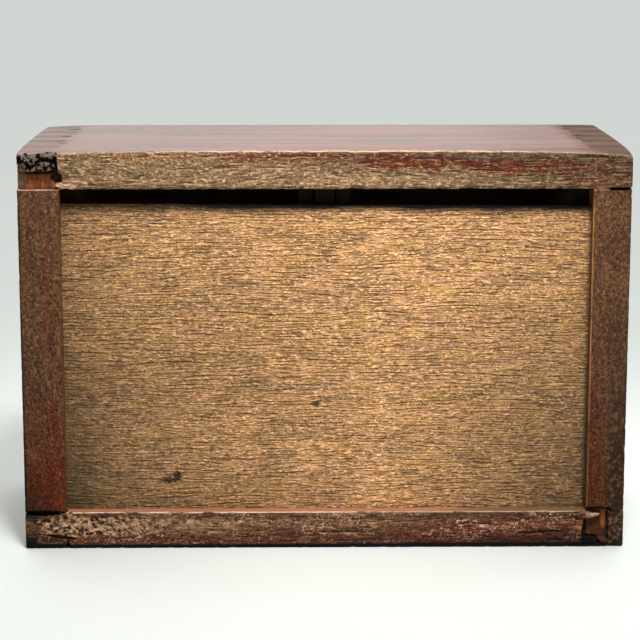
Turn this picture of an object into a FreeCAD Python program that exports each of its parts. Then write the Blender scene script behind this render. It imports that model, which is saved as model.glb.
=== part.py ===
import FreeCAD, Part
import os
import Sketcher

# A small table chest for tea things, of solid hardwood. It stands on its underside, with the
# origin in the middle of that face: +Z is up, the drawers open towards +Y, and the back, with
# its loose panel, faces -Y. All sizes are millimetres.

SIZES = {
    # case of four boards, dovetailed at the corners
    "case_width": 240.0,        # outside, left to right
    "case_depth": 110.0,        # outside, back to front
    "case_height": 160.0,       # outside, underside to top
    "board": 15.0,              # thickness of the four case boards
    "first_tail": 14.5,         # tail at the back edge of the top and bottom boards
    "last_tail": 6.0,           # tail at their front edge
    "pin_width": 9.5,           # pin at the middle of the board's thickness
    "pin_flare": 2.1,           # lean of each pin cheek over the board's thickness
    "pin_count": 5,             # pins in each corner
    "joint_gap": 0.05,          # glue line in the fixed joints
    # worn corners of the two back tails
    "break_depth": 4.0,         # how far each broken tail is gone, from the back face
    "top_break_height": 7.0,    # missing height at the top left corner
    "low_break_width": 9.0,     # missing width at the bottom right corner
    "low_break_height": 12.0,   # missing height there
    # back panel, loose in its grooves
    "groove_setback": 6.0,      # back face to groove
    "groove_depth": 6.0,
    "panel_thickness": 4.8,
    "panel_play": 0.1,          # free play on each face of the panel
    "panel_side_play": 0.5,     # free play at each side edge
    "panel_gap": 5.8,           # open gap over the panel at its left end
    "panel_taper": 1.2,         # the gap is this much higher at its right end
    # shelf and divider between the drawers
    "shelf_thickness": 8.0,
    "divider_thickness": 8.0,
    "dado_depth": 4.0,          # housings for the shelf's and the divider's ends
    "upper_row": 55.0,          # clear height over the shelf
    "front_setback": 1.0,       # case front to shelf, divider and drawer fronts
    "rear_gap": 0.5,            # back groove to shelf and stops
    # blocks that stop the drawers
    "stop_length": 18.0,
    "stop_thickness": 4.0,
    "stop_height": 5.0,
    "stop_gap": 0.2,            # closed drawer to its stops
    # drawers
    "side_play": 0.4,
    "run_gap": 0.3,             # drawer to what it runs on
    "top_play": 0.6,
    "front_thickness": 10.0,
    "front_lip": 4.0,           # front wood left over the ends of the sides
    "side_thickness": 6.0,
    "back_thickness": 6.0,
    "back_drop": 10.0,          # drawer back is this much lower than the sides
    "bottom_thickness": 4.0,
    "bottom_lift": 4.0,         # lower edge of the sides to the bottom
    "bottom_groove": 3.0,       # depth of the groove that holds the bottom
    # bamboo pegs in the drawer corners
    "peg_radius": 1.0,
    "peg_length": 13.5,
    "peg_margin": 9.0,          # drawer edge to the outer pegs
    # brass ring pulls
    "pull_rise": 4.0,           # pull's pin over the middle of the front
    "plate_radius": 8.0,
    "plate_thickness": 0.8,
    "scallop_radius": 1.4,
    "scallop_count": 12,
    "boss_radius": 3.4,
    "boss_height": 0.6,
    "ring_radius": 9.0,         # middle of the ring's wire
    "ring_wire": 1.0,           # radius of the ring's wire
    "ring_play": 0.4,           # ring's wire to the eye it hangs in
    "eye_wire": 0.6,            # radius of the eye's wire
    "shank_radius": 1.0,
    "shank_gap": 0.05,
    "leg_length": 8.0,          # pin legs bent over on the inside of the front
    "leg_width": 1.6,
    "leg_thickness": 0.9,
}

doc = FreeCAD.newDocument("TeaChest")
sheet = doc.addObject("Spreadsheet::Sheet", "Sizes")
for row, (alias, size) in enumerate(SIZES.items(), start=1):
    sheet.set(f"A{row}", alias)
    sheet.set(f"B{row}", str(size))
    sheet.setAlias(f"B{row}", alias)
doc.recompute()

# ---------------------------------------------------------------- planes that the pieces share
LEFT = "(-Sizes.case_width / 2)"
RIGHT = "(Sizes.case_width / 2)"
INNER_LEFT = "(-Sizes.case_width / 2 + Sizes.board)"
INNER_RIGHT = "(Sizes.case_width / 2 - Sizes.board)"
BACK = "(-Sizes.case_depth / 2)"
FRONT = "(Sizes.case_depth / 2)"
FLOOR = "Sizes.board"
CEILING = "(Sizes.case_height - Sizes.board)"
TOP = "Sizes.case_height"

GROOVE_BACK = f"({BACK} + Sizes.groove_setback)"
GROOVE_FRONT = f"({GROOVE_BACK} + Sizes.panel_thickness + 2 * Sizes.panel_play)"
INNER_BACK = f"({GROOVE_FRONT} + Sizes.rear_gap)"
STOP_FACE = f"({INNER_BACK} + Sizes.stop_thickness)"
FACE = f"({FRONT} - Sizes.front_setback)"

SHELF_TOP = f"({CEILING} - Sizes.upper_row)"
SHELF_LOW = f"({SHELF_TOP} - Sizes.shelf_thickness)"
DIVIDER_LEFT = "(-Sizes.divider_thickness / 2)"
DIVIDER_RIGHT = "(Sizes.divider_thickness / 2)"

PIN_START = f"({BACK} + Sizes.first_tail + Sizes.pin_width / 2)"
PIN_PITCH = (
    "(Sizes.case_depth - Sizes.first_tail - Sizes.last_tail - Sizes.pin_width)"
    " / (Sizes.pin_count - 1)"
)

subparts = []


# ---------------------------------------------------------------- sketches and features
def number(expression):
    """The value that an expression has now."""
    return float(sheet.evalExpression(str(expression)))


def new_body(label):
    body = doc.addObject("PartDesign::Body", label)
    body.Label = label
    subparts.append(body)
    return body


def new_sketch(body, name, role, offset):
    """A sketch on one of the body's origin planes, moved along the plane's normal by offset."""
    sketch = body.newObject("Sketcher::SketchObject", f"{body.Label}_{name}_sketch")
    plane = next(feature for feature in body.Origin.OriginFeatures if feature.Role == role)
    sketch.AttachmentSupport = [(plane, "")]
    sketch.MapMode = "FlatFace"
    sketch.setExpression("AttachmentOffset.Base.z", offset)
    return sketch


def tie_point(sketch, edge, end, across, up):
    """Holds one point of a sketch at a pair of expressions."""
    for kind, expression in (("DistanceX", across), ("DistanceY", up)):
        rule = Sketcher.Constraint(kind, -1, 1, edge, end, number(expression))
        index = sketch.addConstraint(rule)
        sketch.setExpression(f"Constraints[{index}]", str(expression))


def draw_outline(sketch, corners):
    """Adds a closed straight-sided outline to a sketch. Corners are pairs of expressions."""
    first = sketch.GeometryCount
    count = len(corners)
    points = [FreeCAD.Vector(number(across), number(up), 0) for across, up in corners]
    for index in range(count):
        sketch.addGeometry(Part.LineSegment(points[index], points[(index + 1) % count]), False)
    for index in range(count):
        following = first + (index + 1) % count
        sketch.addConstraint(Sketcher.Constraint("Coincident", first + index, 2, following, 1))
    for index, (across, up) in enumerate(corners):
        tie_point(sketch, first + index, 1, across, up)


def draw_circle(sketch, across, up, radius):
    """Adds a circle to a sketch."""
    centre = FreeCAD.Vector(number(across), number(up), 0)
    edge = sketch.addGeometry(Part.Circle(centre, FreeCAD.Vector(0, 0, 1), number(radius)), False)
    tie_point(sketch, edge, 3, across, up)
    index = sketch.addConstraint(Sketcher.Constraint("Radius", edge, number(radius)))
    sketch.setExpression(f"Constraints[{index}]", str(radius))


def new_feature(body, kind, name, sketch, length):
    """A pad or a pocket of a sketch."""
    feature = body.newObject(f"PartDesign::{kind}", f"{body.Label}_{name}")
    feature.Profile = sketch
    feature.setExpression("Length", length)
    return feature


def rectangle(x_low, x_high, y_low, y_high):
    return [(x_low, y_low), (x_high, y_low), (x_high, y_high), (x_low, y_high)]


def add_block(body, name, x_low, x_high, y_low, y_high, z_low, z_high):
    """A rectangular block between six planes."""
    sketch = new_sketch(body, name, "XY_Plane", z_low)
    draw_outline(sketch, rectangle(x_low, x_high, y_low, y_high))
    return new_feature(body, "Pad", name, sketch, f"{z_high} - {z_low}")


def cut_block(body, name, x_low, x_high, y_low, y_high, z_low, z_high):
    """A rectangular cut between six planes."""
    sketch = new_sketch(body, name, "XY_Plane", z_high)
    draw_outline(sketch, rectangle(x_low, x_high, y_low, y_high))
    return new_feature(body, "Pocket", name, sketch, f"{z_high} - {z_low}")


def drill_along_y(body, name, centres, radius, y_low, y_high):
    """Round holes along Y. Centres are (x, z) pairs."""
    sketch = new_sketch(body, name, "XZ_Plane", f"-{y_low}")
    for across, up in centres:
        draw_circle(sketch, across, up, radius)
    return new_feature(body, "Pocket", name, sketch, f"{y_high} - {y_low}")


def drill_along_x(body, name, centres, radius, x_low, x_high):
    """Round holes along X. Centres are (y, z) pairs."""
    sketch = new_sketch(body, name, "YZ_Plane", x_high)
    for across, up in centres:
        draw_circle(sketch, across, up, radius)
    return new_feature(body, "Pocket", name, sketch, f"{x_high} - {x_low}")


def repeat_along_y(body, name, feature, sketch, pitch, count):
    """Repeats a feature towards +Y."""
    pattern = body.newObject("PartDesign::LinearPattern", f"{body.Label}_{name}")
    pattern.Originals = [feature]
    pattern.Direction = (sketch, ["V_Axis"])
    pattern.Mode = "Spacing"
    pattern.setExpression("Offset", pitch)
    pattern.setExpression("Occurrences", count)
    body.Tip = pattern
    return pattern


# ---------------------------------------------------------------- case
def pin_outline(side, slack):
    """One dovetail pin seen from above, narrowest at the case's outside. Side is -1 or 1."""
    outer = LEFT if side < 0 else RIGHT
    inner = INNER_LEFT if side < 0 else INNER_RIGHT
    narrow = f"((Sizes.pin_width - Sizes.pin_flare) / 2 - {slack})"
    wide = f"((Sizes.pin_width + Sizes.pin_flare) / 2 - {slack})"
    return [
        (outer, f"{PIN_START} - {narrow}"),
        (outer, f"{PIN_START} + {narrow}"),
        (inner, f"{PIN_START} + {wide}"),
        (inner, f"{PIN_START} - {wide}"),
    ]


def make_tail_board(label, z_low, z_high, groove_low, groove_high):
    """The top or the bottom board, with the sockets for the pins and the panel's groove."""
    body = new_body(label)
    add_block(body, "board", LEFT, RIGHT, BACK, FRONT, z_low, z_high)
    sketch = new_sketch(body, "sockets", "XY_Plane", z_high)
    for side in (-1, 1):
        draw_outline(sketch, pin_outline(side, 0))
    sockets = new_feature(body, "Pocket", "sockets", sketch, f"{z_high} - {z_low}")
    repeat_along_y(body, "socket_row", sockets, sketch, PIN_PITCH, "Sizes.pin_count")
    cut_block(
        body, "groove",
        f"{INNER_LEFT} - Sizes.groove_depth", f"{INNER_RIGHT} + Sizes.groove_depth",
        GROOVE_BACK, GROOVE_FRONT, groove_low, groove_high,
    )
    return body


def make_side_board(label, side):
    """A side board, with its pins, the panel's groove and the shelf's housing."""
    body = new_body(label)
    outer = LEFT if side < 0 else RIGHT
    inner = INNER_LEFT if side < 0 else INNER_RIGHT
    sign = "-" if side < 0 else "+"
    groove_end = f"{inner} {sign} Sizes.groove_depth"
    dado_end = f"{inner} {sign} Sizes.dado_depth"
    add_block(body, "board", outer, inner, BACK, FRONT, FLOOR, CEILING)
    sketch = new_sketch(body, "pins", "XY_Plane", "0")
    draw_outline(sketch, pin_outline(side, "Sizes.joint_gap"))
    pins = new_feature(body, "Pad", "pins", sketch, TOP)
    repeat_along_y(body, "pin_row", pins, sketch, PIN_PITCH, "Sizes.pin_count")
    cut_block(body, "groove", inner, groove_end, GROOVE_BACK, GROOVE_FRONT, FLOOR, CEILING)
    cut_block(
        body, "shelf_housing", inner, dado_end,
        f"{INNER_BACK} - Sizes.joint_gap", f"{FACE} + Sizes.joint_gap", SHELF_LOW, SHELF_TOP,
    )
    return body


top_board = make_tail_board(
    "top_board", CEILING, TOP, CEILING, f"({CEILING} + Sizes.groove_depth)"
)
cut_block(
    top_board, "divider_housing", DIVIDER_LEFT, DIVIDER_RIGHT,
    f"{INNER_BACK} - Sizes.joint_gap", f"{FACE} + Sizes.joint_gap",
    CEILING, f"({CEILING} + Sizes.dado_depth)",
)
cut_block(
    top_board, "broken_tail", LEFT, INNER_LEFT, BACK, f"{BACK} + Sizes.break_depth",
    CEILING, f"({CEILING} + Sizes.top_break_height)",
)

bottom_board = make_tail_board(
    "bottom_board", "0", FLOOR, "(Sizes.board - Sizes.groove_depth)", FLOOR
)
cut_block(
    bottom_board, "broken_tail", INNER_RIGHT, f"{INNER_RIGHT} + Sizes.low_break_width",
    BACK, f"{BACK} + Sizes.break_depth", f"({FLOOR} - Sizes.low_break_height)", FLOOR,
)

make_side_board("left_side_board", -1)
make_side_board("right_side_board", 1)


# ---------------------------------------------------------------- back panel
def make_back_panel():
    """The raw panel: it stands in the bottom groove and is too low to reach the top one."""
    body = new_body("back_panel")
    reach = "Sizes.groove_depth - Sizes.panel_side_play"
    left = f"({INNER_LEFT} - ({reach}))"
    right = f"({INNER_RIGHT} + {reach})"
    low = "(Sizes.board - Sizes.groove_depth)"
    left_top = f"{CEILING} - Sizes.panel_gap"
    right_top = f"{CEILING} - Sizes.panel_gap - Sizes.panel_taper"
    sketch = new_sketch(body, "face", "XZ_Plane", f"-({GROOVE_FRONT} - Sizes.panel_play)")
    draw_outline(sketch, [(left, low), (right, low), (right, right_top), (left, left_top)])
    new_feature(body, "Pad", "face", sketch, "Sizes.panel_thickness")
    return body


make_back_panel()


# ---------------------------------------------------------------- shelf, divider and stops
shelf = new_body("drawer_shelf")
SHELF_REACH = "Sizes.dado_depth - Sizes.joint_gap"
add_block(
    shelf, "board", f"{INNER_LEFT} - ({SHELF_REACH})", f"{INNER_RIGHT} + {SHELF_REACH}",
    INNER_BACK, FACE, SHELF_LOW, f"({SHELF_TOP} - Sizes.joint_gap)",
)
cut_block(
    shelf, "divider_housing", DIVIDER_LEFT, DIVIDER_RIGHT,
    f"{INNER_BACK} - 1", f"{FACE} + 1",
    f"({SHELF_TOP} - Sizes.dado_depth / 2)", f"({SHELF_TOP} + 1)",
)

divider = new_body("drawer_divider")
add_block(
    divider, "board",
    f"{DIVIDER_LEFT} + Sizes.joint_gap", f"{DIVIDER_RIGHT} - Sizes.joint_gap",
    INNER_BACK, FACE, f"({SHELF_TOP} - Sizes.dado_depth / 2)",
    f"({CEILING} + Sizes.dado_depth - Sizes.joint_gap)",
)


def make_stops():
    """Blocks behind each drawer, glued to what the drawer runs on."""
    blocks = []
    upper_left_middle = f"({INNER_LEFT} + {DIVIDER_LEFT}) / 2"
    upper_right_middle = f"({INNER_RIGHT} + {DIVIDER_RIGHT}) / 2"
    lower_reach = "Sizes.case_width / 4"
    places = {
        "upper_left": (upper_left_middle, f"{SHELF_TOP} - Sizes.joint_gap"),
        "upper_right": (upper_right_middle, f"{SHELF_TOP} - Sizes.joint_gap"),
        "lower_left": (f"-{lower_reach}", FLOOR),
        "lower_right": (lower_reach, FLOOR),
    }
    for name, (middle, seat) in places.items():
        block = doc.addObject("Part::Box", f"stop_{name}")
        block.setExpression("Length", "Sizes.stop_length")
        block.setExpression("Width", "Sizes.stop_thickness")
        block.setExpression("Height", "Sizes.stop_height")
        block.setExpression("Placement.Base.x", f"{middle} - Sizes.stop_length / 2")
        block.setExpression("Placement.Base.y", INNER_BACK)
        block.setExpression("Placement.Base.z", seat)
        blocks.append(block)
    group = doc.addObject("Part::Compound", "drawer_stops")
    group.Label = "drawer_stops"
    group.Links = blocks
    subparts.append(group)


make_stops()


# ---------------------------------------------------------------- drawers
class Bay:
    """The planes of one drawer, worked out from the opening that it fills."""

    def __init__(self, x_low, x_high, z_low, z_high):
        self.left = f"({x_low} + Sizes.side_play)"
        self.right = f"({x_high} - Sizes.side_play)"
        self.low = f"({z_low} + Sizes.run_gap)"
        self.high = f"({z_high} - Sizes.top_play)"
        self.back = f"({STOP_FACE} + Sizes.stop_gap)"
        self.inner_left = f"({self.left} + Sizes.side_thickness)"
        self.inner_right = f"({self.right} - Sizes.side_thickness)"
        self.inner_face = f"({FACE} - Sizes.front_thickness)"
        self.side_front = f"({FACE} - Sizes.front_lip)"
        self.bottom_low = f"({self.low} + Sizes.bottom_lift)"
        self.bottom_high = f"({self.bottom_low} + Sizes.bottom_thickness)"
        self.back_high = f"({self.high} - Sizes.back_drop)"
        self.pull_x = f"(({self.left} + {self.right}) / 2)"
        self.pull_z = f"(({self.low} + {self.high}) / 2 + Sizes.pull_rise)"
        self.front_peg_y = f"(({self.inner_face} + {self.side_front}) / 2)"
        self.back_peg_y = f"({self.back} + Sizes.back_thickness / 2)"
        low_peg = f"({self.bottom_high} + Sizes.peg_margin / 2)"
        self.front_pegs = [
            (self.front_peg_y, low_peg),
            (self.front_peg_y, f"({low_peg} + {self.high} - Sizes.peg_margin) / 2"),
            (self.front_peg_y, f"{self.high} - Sizes.peg_margin"),
        ]
        self.back_pegs = [
            (self.back_peg_y, low_peg),
            (self.back_peg_y, f"{self.back_high} - Sizes.peg_margin"),
        ]


PEG_HOLE = "Sizes.peg_radius + Sizes.joint_gap"
SLOT_LOW = "Sizes.joint_gap"


def make_drawer_front(name, bay):
    body = new_body(f"{name}_drawer_front")
    add_block(body, "board", bay.left, bay.right, bay.inner_face, FACE, bay.low, bay.high)
    for side, outer, inner in (
        ("left", bay.left, bay.inner_left),
        ("right", bay.right, bay.inner_right),
    ):
        cut_block(
            body, f"{side}_rebate", outer, inner,
            bay.inner_face, bay.side_front, bay.low, bay.high,
        )
    cut_block(
        body, "bottom_groove", bay.inner_left, bay.inner_right,
        bay.inner_face, f"{bay.inner_face} + Sizes.bottom_groove",
        f"({bay.bottom_low} - {SLOT_LOW})", f"({bay.bottom_high} + {SLOT_LOW})",
    )
    drill_along_y(
        body, "pin_hole", [(bay.pull_x, bay.pull_z)],
        "Sizes.shank_radius + Sizes.shank_gap", bay.inner_face, FACE,
    )
    drill_along_x(
        body, "left_peg_holes", bay.front_pegs, PEG_HOLE,
        bay.inner_left, f"({bay.left} + Sizes.peg_length)",
    )
    drill_along_x(
        body, "right_peg_holes", bay.front_pegs, PEG_HOLE,
        f"({bay.right} - Sizes.peg_length)", bay.inner_right,
    )


def make_drawer_side(name, bay, side):
    body = new_body(f"{name}_drawer_{side}_side")
    if side == "left":
        x_low, x_high = bay.left, bay.inner_left
        groove_low, groove_high = f"{x_high} - Sizes.bottom_groove", x_high
    else:
        x_low, x_high = bay.inner_right, bay.right
        groove_low, groove_high = x_low, f"{x_low} + Sizes.bottom_groove"
    add_block(body, "board", x_low, x_high, bay.back, bay.side_front, bay.low, bay.high)
    cut_block(
        body, "bottom_groove", groove_low, groove_high, bay.back, bay.side_front,
        f"({bay.bottom_low} - {SLOT_LOW})", f"({bay.bottom_high} + {SLOT_LOW})",
    )
    drill_along_x(
        body, "peg_holes", bay.front_pegs + bay.back_pegs, PEG_HOLE, x_low, x_high
    )


def make_drawer_back(name, bay):
    body = new_body(f"{name}_drawer_back")
    add_block(
        body, "board", bay.inner_left, bay.inner_right,
        bay.back, f"{bay.back} + Sizes.back_thickness", bay.bottom_high, bay.back_high,
    )
    drill_along_x(
        body, "left_peg_holes", bay.back_pegs, PEG_HOLE,
        bay.inner_left, f"({bay.left} + Sizes.peg_length)",
    )
    drill_along_x(
        body, "right_peg_holes", bay.back_pegs, PEG_HOLE,
        f"({bay.right} - Sizes.peg_length)", bay.inner_right,
    )


def make_drawer_bottom(name, bay):
    body = new_body(f"{name}_drawer_bottom")
    reach = "Sizes.bottom_groove - Sizes.joint_gap"
    add_block(
        body, "board", f"{bay.inner_left} - ({reach})", f"{bay.inner_right} + {reach}",
        bay.back, f"{bay.inner_face} + {reach}", bay.bottom_low, bay.bottom_high,
    )


def make_drawer_pegs(name, bay):
    """Bamboo pegs through the sides into the ends of the front and the back."""
    pegs = []
    for side, start in (
        ("left", bay.left), ("right", f"({bay.right} - Sizes.peg_length)")
    ):
        for index, (along, up) in enumerate(bay.front_pegs + bay.back_pegs, start=1):
            peg = doc.addObject("Part::Cylinder", f"{name}_{side}_peg_{index}")
            peg.Placement.Rotation = FreeCAD.Rotation(FreeCAD.Vector(0, 1, 0), 90)
            peg.setExpression("Radius", "Sizes.peg_radius")
            peg.setExpression("Height", "Sizes.peg_length")
            peg.setExpression("Placement.Base.x", start)
            peg.setExpression("Placement.Base.y", along)
            peg.setExpression("Placement.Base.z", up)
            pegs.append(peg)
    group = doc.addObject("Part::Compound", f"{name}_drawer_pegs")
    group.Label = f"{name}_drawer_pegs"
    group.Links = pegs
    subparts.append(group)


# ---------------------------------------------------------------- ring pulls
PLATE_FACE = f"({FACE} + Sizes.plate_thickness)"
BOSS_FACE = f"({PLATE_FACE} + Sizes.boss_height)"
EYE_RADIUS = "(Sizes.ring_wire + Sizes.ring_play + Sizes.eye_wire)"
EYE_Y = f"({BOSS_FACE} + {EYE_RADIUS} + Sizes.eye_wire)"


def make_pull_plate(name, bay):
    """A thin round plate with a scalloped rim and a low boss round the pin."""
    body = new_body(f"{name}_pull_plate")
    plate = new_sketch(body, "plate", "XZ_Plane", f"-{PLATE_FACE}")
    draw_circle(plate, bay.pull_x, bay.pull_z, "Sizes.plate_radius")
    new_feature(body, "Pad", "plate", plate, "Sizes.plate_thickness")
    boss = new_sketch(body, "boss", "XZ_Plane", f"-{BOSS_FACE}")
    draw_circle(boss, bay.pull_x, bay.pull_z, "Sizes.boss_radius")
    new_feature(body, "Pad", "boss", boss, "Sizes.boss_height + Sizes.plate_thickness / 2")
    rim = new_sketch(body, "scallops", "XZ_Plane", f"-{FACE}")
    reach = "(Sizes.plate_radius + Sizes.scallop_radius / 2)"
    count = int(number("Sizes.scallop_count"))
    for index in range(count):
        angle = f"(360 * {index} / Sizes.scallop_count)"
        draw_circle(
            rim, f"{bay.pull_x} + {reach} * cos({angle})", f"{bay.pull_z} + {reach} * sin({angle})",
            "Sizes.scallop_radius",
        )
    new_feature(body, "Pocket", "scallops", rim, "Sizes.plate_thickness")
    drill_along_y(
        body, "pin_hole", [(bay.pull_x, bay.pull_z)],
        "Sizes.shank_radius + Sizes.shank_gap", FACE, BOSS_FACE,
    )


def make_pull_pin(name, bay):
    """A split pin: an eye, a shank through the front, and two legs bent over inside."""
    eye = doc.addObject("Part::Torus", f"{name}_eye")
    eye.Placement.Rotation = FreeCAD.Rotation(FreeCAD.Vector(0, 1, 0), 90)
    eye.setExpression("Radius1", EYE_RADIUS)
    eye.setExpression("Radius2", "Sizes.eye_wire")
    eye.setExpression("Placement.Base.y", EYE_Y)
    leg_y = f"({bay.inner_face} - Sizes.leg_thickness)"
    shank = doc.addObject("Part::Cylinder", f"{name}_shank")
    shank.Placement.Rotation = FreeCAD.Rotation(FreeCAD.Vector(1, 0, 0), -90)
    shank.setExpression("Radius", "Sizes.shank_radius")
    shank.setExpression("Height", f"{EYE_Y} - {EYE_RADIUS} - {leg_y}")
    shank.setExpression("Placement.Base.y", leg_y)
    legs = doc.addObject("Part::Box", f"{name}_legs")
    legs.setExpression("Length", "2 * Sizes.leg_length")
    legs.setExpression("Width", "Sizes.leg_thickness")
    legs.setExpression("Height", "Sizes.leg_width")
    legs.setExpression("Placement.Base.y", leg_y)
    for piece, across, up in (
        (eye, bay.pull_x, bay.pull_z),
        (shank, bay.pull_x, bay.pull_z),
        (legs, f"{bay.pull_x} - Sizes.leg_length", f"{bay.pull_z} - Sizes.leg_width / 2"),
    ):
        piece.setExpression("Placement.Base.x", across)
        piece.setExpression("Placement.Base.z", up)
    pin = doc.addObject("Part::MultiFuse", f"{name}_pull_pin")
    pin.Label = f"{name}_pull_pin"
    pin.Shapes = [eye, shank, legs]
    subparts.append(pin)


def make_pull_ring(name, bay):
    """The ring hangs in the eye, with its wire's middle on the eye's axis."""
    ring = doc.addObject("Part::Torus", f"{name}_pull_ring")
    ring.Label = f"{name}_pull_ring"
    ring.Placement.Rotation = FreeCAD.Rotation(FreeCAD.Vector(1, 0, 0), 90)
    ring.setExpression("Radius1", "Sizes.ring_radius")
    ring.setExpression("Radius2", "Sizes.ring_wire")
    ring.setExpression("Placement.Base.x", bay.pull_x)
    ring.setExpression("Placement.Base.y", EYE_Y)
    ring.setExpression("Placement.Base.z", f"{bay.pull_z} - Sizes.ring_radius")
    subparts.append(ring)


BAYS = {
    "upper_left": Bay(INNER_LEFT, DIVIDER_LEFT, SHELF_TOP, CEILING),
    "upper_right": Bay(DIVIDER_RIGHT, INNER_RIGHT, SHELF_TOP, CEILING),
    "lower": Bay(INNER_LEFT, INNER_RIGHT, FLOOR, SHELF_LOW),
}

for name, bay in BAYS.items():
    make_drawer_front(name, bay)
    make_drawer_side(name, bay, "left")
    make_drawer_side(name, bay, "right")
    make_drawer_back(name, bay)
    make_drawer_bottom(name, bay)
    make_drawer_pegs(name, bay)
    make_pull_plate(name, bay)
    make_pull_pin(name, bay)
    make_pull_ring(name, bay)

# ---------------------------------------------------------------- check and write
doc.recompute()

faults = []
for item in doc.Objects:
    if any(mark in item.State for mark in ("Invalid", "Error")):
        faults.append(f"{item.Label}: {item.State}")
    if item.TypeId in ("PartDesign::Pocket", "PartDesign::LinearPattern"):
        if abs(item.Shape.Volume - item.BaseFeature.Shape.Volume) < 1e-3:
            faults.append(f"{item.Label} changes nothing")
for part in subparts:
    if part.Shape.isNull() or not part.Shape.isValid():
        faults.append(f"{part.Label} has no valid shape")
if faults:
    raise RuntimeError("; ".join(faults))

os.makedirs("parts", exist_ok=True)
for part in subparts:
    part.Shape.exportStep(f"parts/{part.Label}.step")
    print(part.Label, len(part.Shape.Solids), round(part.Shape.Volume, 1))
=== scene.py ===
"""A small tea ceremony box: a dovetailed hardwood case, a loose back panel, three drawers and ring pulls."""

import math

import bmesh
import bpy
from mathutils import Matrix, Vector, noise


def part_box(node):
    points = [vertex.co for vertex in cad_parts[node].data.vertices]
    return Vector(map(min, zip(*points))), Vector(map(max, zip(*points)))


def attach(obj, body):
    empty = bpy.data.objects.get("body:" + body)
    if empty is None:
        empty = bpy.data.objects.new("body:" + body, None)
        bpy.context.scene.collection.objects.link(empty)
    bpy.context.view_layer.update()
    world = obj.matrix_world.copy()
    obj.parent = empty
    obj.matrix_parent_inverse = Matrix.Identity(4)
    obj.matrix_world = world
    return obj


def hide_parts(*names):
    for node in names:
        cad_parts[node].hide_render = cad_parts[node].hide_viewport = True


bl_info = {
    "name": "Tea Ceremony Box",
    "version": (1, 0, 0),
    "blender": (4, 5, 0),
    "location": "3D View > Sidebar > Tea Box",
    "description": "Makes a worn hardwood box with a loose back panel and three drawers",
    "category": "Add Mesh",
}

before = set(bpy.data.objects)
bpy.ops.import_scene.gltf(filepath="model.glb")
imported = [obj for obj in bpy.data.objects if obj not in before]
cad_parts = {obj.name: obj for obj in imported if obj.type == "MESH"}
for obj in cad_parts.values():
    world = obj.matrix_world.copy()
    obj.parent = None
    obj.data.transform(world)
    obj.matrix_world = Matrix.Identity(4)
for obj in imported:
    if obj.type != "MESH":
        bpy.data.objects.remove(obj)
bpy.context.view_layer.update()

MM = 0.001
X, Y, Z = 0, 1, 2

# the case, in millimetres: half its width, its height, its back face and where the worn skin behind that ends
HALF_WIDTH, HEIGHT, BACK, SKIN = 120, 160, -55.0, -50.0
# where the boards' inner faces are: the sides' distance from the middle, the top's and the bottom's height
INNER_SIDE, INNER_TOP, INNER_FLOOR = 105, 145, 15
# the dovetails: how far apart the pins stand and half the width of one
PIN_PITCH, PIN_HALF_WIDTH = 20.0, 4.75


# ------------------------------------------------------------------ sizes and colours a user may change
def paint(*screen):
    """A colour as seen on a screen, 0 to 255, turned into the linear colour that shaders use."""
    return tuple(c / 255 / 12.92 if c < 11 else ((c / 255 + 0.055) / 1.055) ** 2.4 for c in screen)


def amount(name, description, default, **limits):
    """A setting that is a plain number."""
    return bpy.props.FloatProperty(name=name, description=description, default=default, **limits)


def share(name, description, default):
    """A setting from 0 to 4 that multiplies something."""
    return amount(name, description, default, min=0, max=4, subtype="FACTOR")


def length(name, description, millimetres):
    """A setting given in millimetres and kept in metres."""
    return amount(name, description, millimetres * MM, min=0, precision=5, subtype="DISTANCE", unit="LENGTH")


def angle(name, description, degrees):
    """A setting given in degrees and kept in radians."""
    return amount(name, description, math.radians(degrees), subtype="ANGLE", unit="ROTATION")


def colour(name, description, *screen):
    """A setting that is a colour, given as seen on a screen."""
    return bpy.props.FloatVectorProperty(
        name=name, description=description, default=paint(*screen), min=0, max=1, size=3, subtype="COLOR"
    )


class TeaBoxWear(bpy.types.PropertyGroup):
    """How far use has worn the case"""

    eased_edge: length("Eased edge", "Width of the small bevel on the boards' edges", 0.3)
    drawer_edge: length("Drawer edge", "Width of the bevel on the drawer parts", 0.4)
    crown: share("Crown", "How far the top falls away towards its ends, 1 being the real box", 1.0)
    chips: share("Chips", "Depth of the chips and breaks, 1 being the real box", 1.0)
    grain_relief: length("Grain relief", "Height of the raised grain on raw edges", 0.3)


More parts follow.
